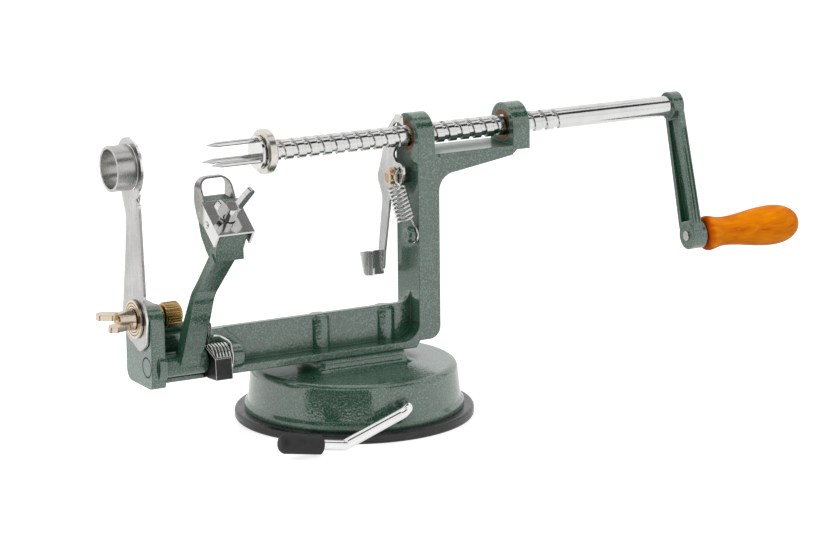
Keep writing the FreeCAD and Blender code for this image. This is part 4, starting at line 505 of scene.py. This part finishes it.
joints = {joint["name"]: joint for joint in frame["record"]["behaviour"]["joints"]}
hub = Vector(joints["crank_turn"]["pos_m"])
pin = Vector(joints["handle_spin"]["pos_m"])
reach = Vector((0.0, pin.y - hub.y, pin.z - hub.z))
down = reach.normalized()
ahead = Vector((0.0, down.z, -down.y))
crank_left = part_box("crank_arm")[0][0]
for label, offset, half, below in BEADS:
    foot = Vector((crank_left + offset * MM, hub.y, hub.z)) + EDGE_AHEAD * ahead
    first = foot + below * MM * down
    last = foot + (reach.length - SHORT_OF_PIN) * down
    rib("crank_bead_" + label, first, last, ahead, half * MM, BEAD_HEIGHT, "green_paint", "screw")

# A fixed copy of the release spring's mesh stands in for the part.
coil = bpy.data.objects.new("release_coil", nodes["release_spring"].data.copy())
scene.collection.objects.link(coil)
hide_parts("release_spring")
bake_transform(coil)

# Turned grooves of the washer under the wing nut, drawn as flat rings darker than its face: painted shade
# in the grooves
GROOVE_SHARES = (0.52, 0.68, 0.84)
GROOVE_EDGES = (-0.22, -0.12, 0.12, 0.22)
end, washer_radius = round_end("blade_washer", 0)
for number, share in enumerate(GROOVE_SHARES):
    thin_ring("washer_groove_%d" % number, end, share * washer_radius, GROOVE_EDGES, 0.04 * MM, "bronze")


# Camera

EYE = (-0.8127, -1.5570, 0.4682)
LENS = 173.7
toward = Vector((0.4649, 0.8563, -0.2250)).normalized()
roll = math.radians(-0.6)
flat_right = toward.cross(Vector((0.0, 0.0, 1.0))).normalized()
flat_up = flat_right.cross(toward)
right = math.cos(roll) * flat_right + math.sin(roll) * flat_up
up = -math.sin(roll) * flat_right + math.cos(roll) * flat_up

camera = bpy.data.objects.new("camera", bpy.data.cameras.new("camera"))
scene.collection.objects.link(camera)
axes = Matrix((right, up, -toward)).transposed()
camera.matrix_world = Matrix.Translation(EYE) @ axes.to_4x4()
camera.data.sensor_width = 36.0
camera.data.lens = LENS
camera.data.clip_start = 0.05
camera.data.clip_end = 60.0
scene.camera = camera


# Floor and sky

FLOOR_COLOUR = (0.62, 0.62, 0.62, 1.0)
FLOOR_TO_CAMERA = 0.70
FLOOR_TO_SHINE = 0.48
FLOOR_HALF = 9
SKY_LIGHT = 0.42
SKY_SEEN = 1.0


def seen_directly(net, to_camera=1.0, to_shine=1.0):
    """to_camera for rays from the camera, and to_shine for what shines on metal or through glass."""
    rays = net.node("LightPath").outputs
    from_camera = net.times(rays["Is Camera Ray"], to_camera)
    from_metal = net.times(rays["Is Glossy Ray"], to_shine)
    through_glass = net.times(rays["Is Transmission Ray"], to_shine)
    return net.larger(net.larger(from_camera, from_metal), through_glass)


def bare_material(name):
    """(material, its net), with no node in it."""
    material = bpy.data.materials.new(name)
    material.use_nodes = True
    material.node_tree.nodes.clear()
    return material, Net(material.node_tree)


def staged(name, corners, material, faces=None):
    """A floor or card of the studio, of one face unless told otherwise."""
    mesh = bpy.data.meshes.new(name)
    mesh.from_pydata(corners, [], faces or [range(len(corners))])
    mesh.materials.append(material)
    card = bpy.data.objects.new(name, mesh)
    scene.collection.objects.link(card)
    return card


pale_floor, net = bare_material("pale_floor")
matt = net.node("BsdfDiffuse", {"Color": FLOOR_COLOUR})
strength = seen_directly(net, FLOOR_TO_CAMERA, FLOOR_TO_SHINE)
glow = net.node("Emission", {"Color": WHITE, "Strength": strength})
both = net.node("AddShader", {0: matt.outputs[0], 1: glow.outputs[0]})
net.node("OutputMaterial", {"Surface": both.outputs[0]})
floor_corners = [(x * FLOOR_HALF, y * FLOOR_HALF, 0) for x, y in ((-1, -1), (1, -1), (1, 1), (-1, 1))]
staged("floor", floor_corners, pale_floor)

world = bpy.data.worlds.new("studio")
world.use_nodes = True
scene.world = world
net = Net(world.node_tree)
sky = world.node_tree.nodes["Background"]
net.put(sky.inputs["Strength"], net.band(seen_directly(net), 0.0, 1.0, SKY_LIGHT, SKY_SEEN))
net.put(sky.inputs["Color"], WHITE)


# Cards that only shiny surfaces see, for the dark parts of a room; their angles are in degrees

CARD_STEP = 8
GROUND = 0.1
NEAR = 0.18
FAR = 3.2


def card_look(name, level):
    """Plain grey glow of a card."""
    look, net = bare_material(name)
    dim = net.node("Emission", {"Color": (level, level, level, 1.0)})
    net.node("OutputMaterial", {"Surface": dim.outputs[0]})
    return look


def for_shine_only(card):
    """Only shiny surfaces see the card."""
    card.visible_camera = False
    card.visible_diffuse = False
    card.visible_shadow = False
    card.visible_transmission = False


def direction(azimuth, elevation):
    """Unit vector: azimuth 0 is towards the camera's side, positive to its right."""
    turn = math.atan2(-toward.y, -toward.x) + math.radians(azimuth)
    rise = math.radians(elevation)
    return Vector((math.cos(turn) * math.cos(rise), math.sin(turn) * math.cos(rise), math.sin(rise)))


def shine_card(name, look, azimuths, *rows):
    """A card between two azimuths; a row is a distance and an elevation."""
    first, last = azimuths
    steps = max(2, int(abs(last - first) / CARD_STEP))
    verts = []
    for distance, elevation in rows:
        for i in range(steps + 1):
            verts.append(distance * direction(first + (last - first) * i / steps, elevation))
    for_shine_only(staged(name, verts, look, net_faces(len(rows), steps + 1)))


DARK = card_look("dark_card", 0.03)
DIM = card_look("dim_card", 0.11)
GREY = card_look("grey_card", 0.22)
PALE = card_look("pale_card", 0.55)

shine_card("card_front", DIM, (-48, 18), (FAR, GROUND), (FAR, 34))
shine_card("card_table", DIM, (-48, 18), (NEAR, GROUND), (FAR, GROUND))
shine_card("card_rod", DARK, (44, 90), (FAR, 37), (FAR, 55))
shine_card("card_line", GREY, (112, 140), (FAR, 58), (FAR, 70))
shine_card("card_above", DARK, (-130, 40), (FAR, 54), (FAR, 78))

# A grey sheet behind the object keeps the column and the crank duller on the left than the end block.
SHEET_CORNERS = ((-0.15, 0.19), (0.60, 0.19), (1.6, 2.2), (-0.95, 2.2))
SHEET_HEIGHT = 0.4 * MM
for_shine_only(staged("card_far_table", [(x, y, SHEET_HEIGHT) for x, y in SHEET_CORNERS], PALE))


# Lamps

AIM = Vector((0.04, 0.0, 0.06))


def soft_light(name, azimuth, elevation, distance, size, power):
    """A large soft lamp that looks at the middle of the object and that no shiny surface shows."""
    lamp = bpy.data.lights.new(name, "AREA")
    lamp.shape = "RECTANGLE"
    lamp.size, lamp.size_y = size
    lamp.energy = power
    obj = bpy.data.objects.new(name, lamp)
    scene.collection.objects.link(obj)
    obj.location = AIM + distance * direction(azimuth, elevation)
    obj.rotation_mode = "QUATERNION"
    obj.rotation_quaternion = (obj.location - AIM).to_track_quat("Z", "Y")
    obj.visible_glossy = False


soft_light("key", azimuth=-58, elevation=36, distance=1.5, size=(0.8, 0.6), power=9.0)
soft_light("fill", azimuth=40, elevation=22, distance=1.6, size=(0.6, 0.8), power=6.0)
soft_light("kicker", azimuth=-126, elevation=10, distance=1.4, size=(0.7, 0.45), power=7.0)
soft_light("top", azimuth=130, elevation=64, distance=1.5, size=(1.0, 0.6), power=6.0)

scene.view_settings.view_transform = "Standard"
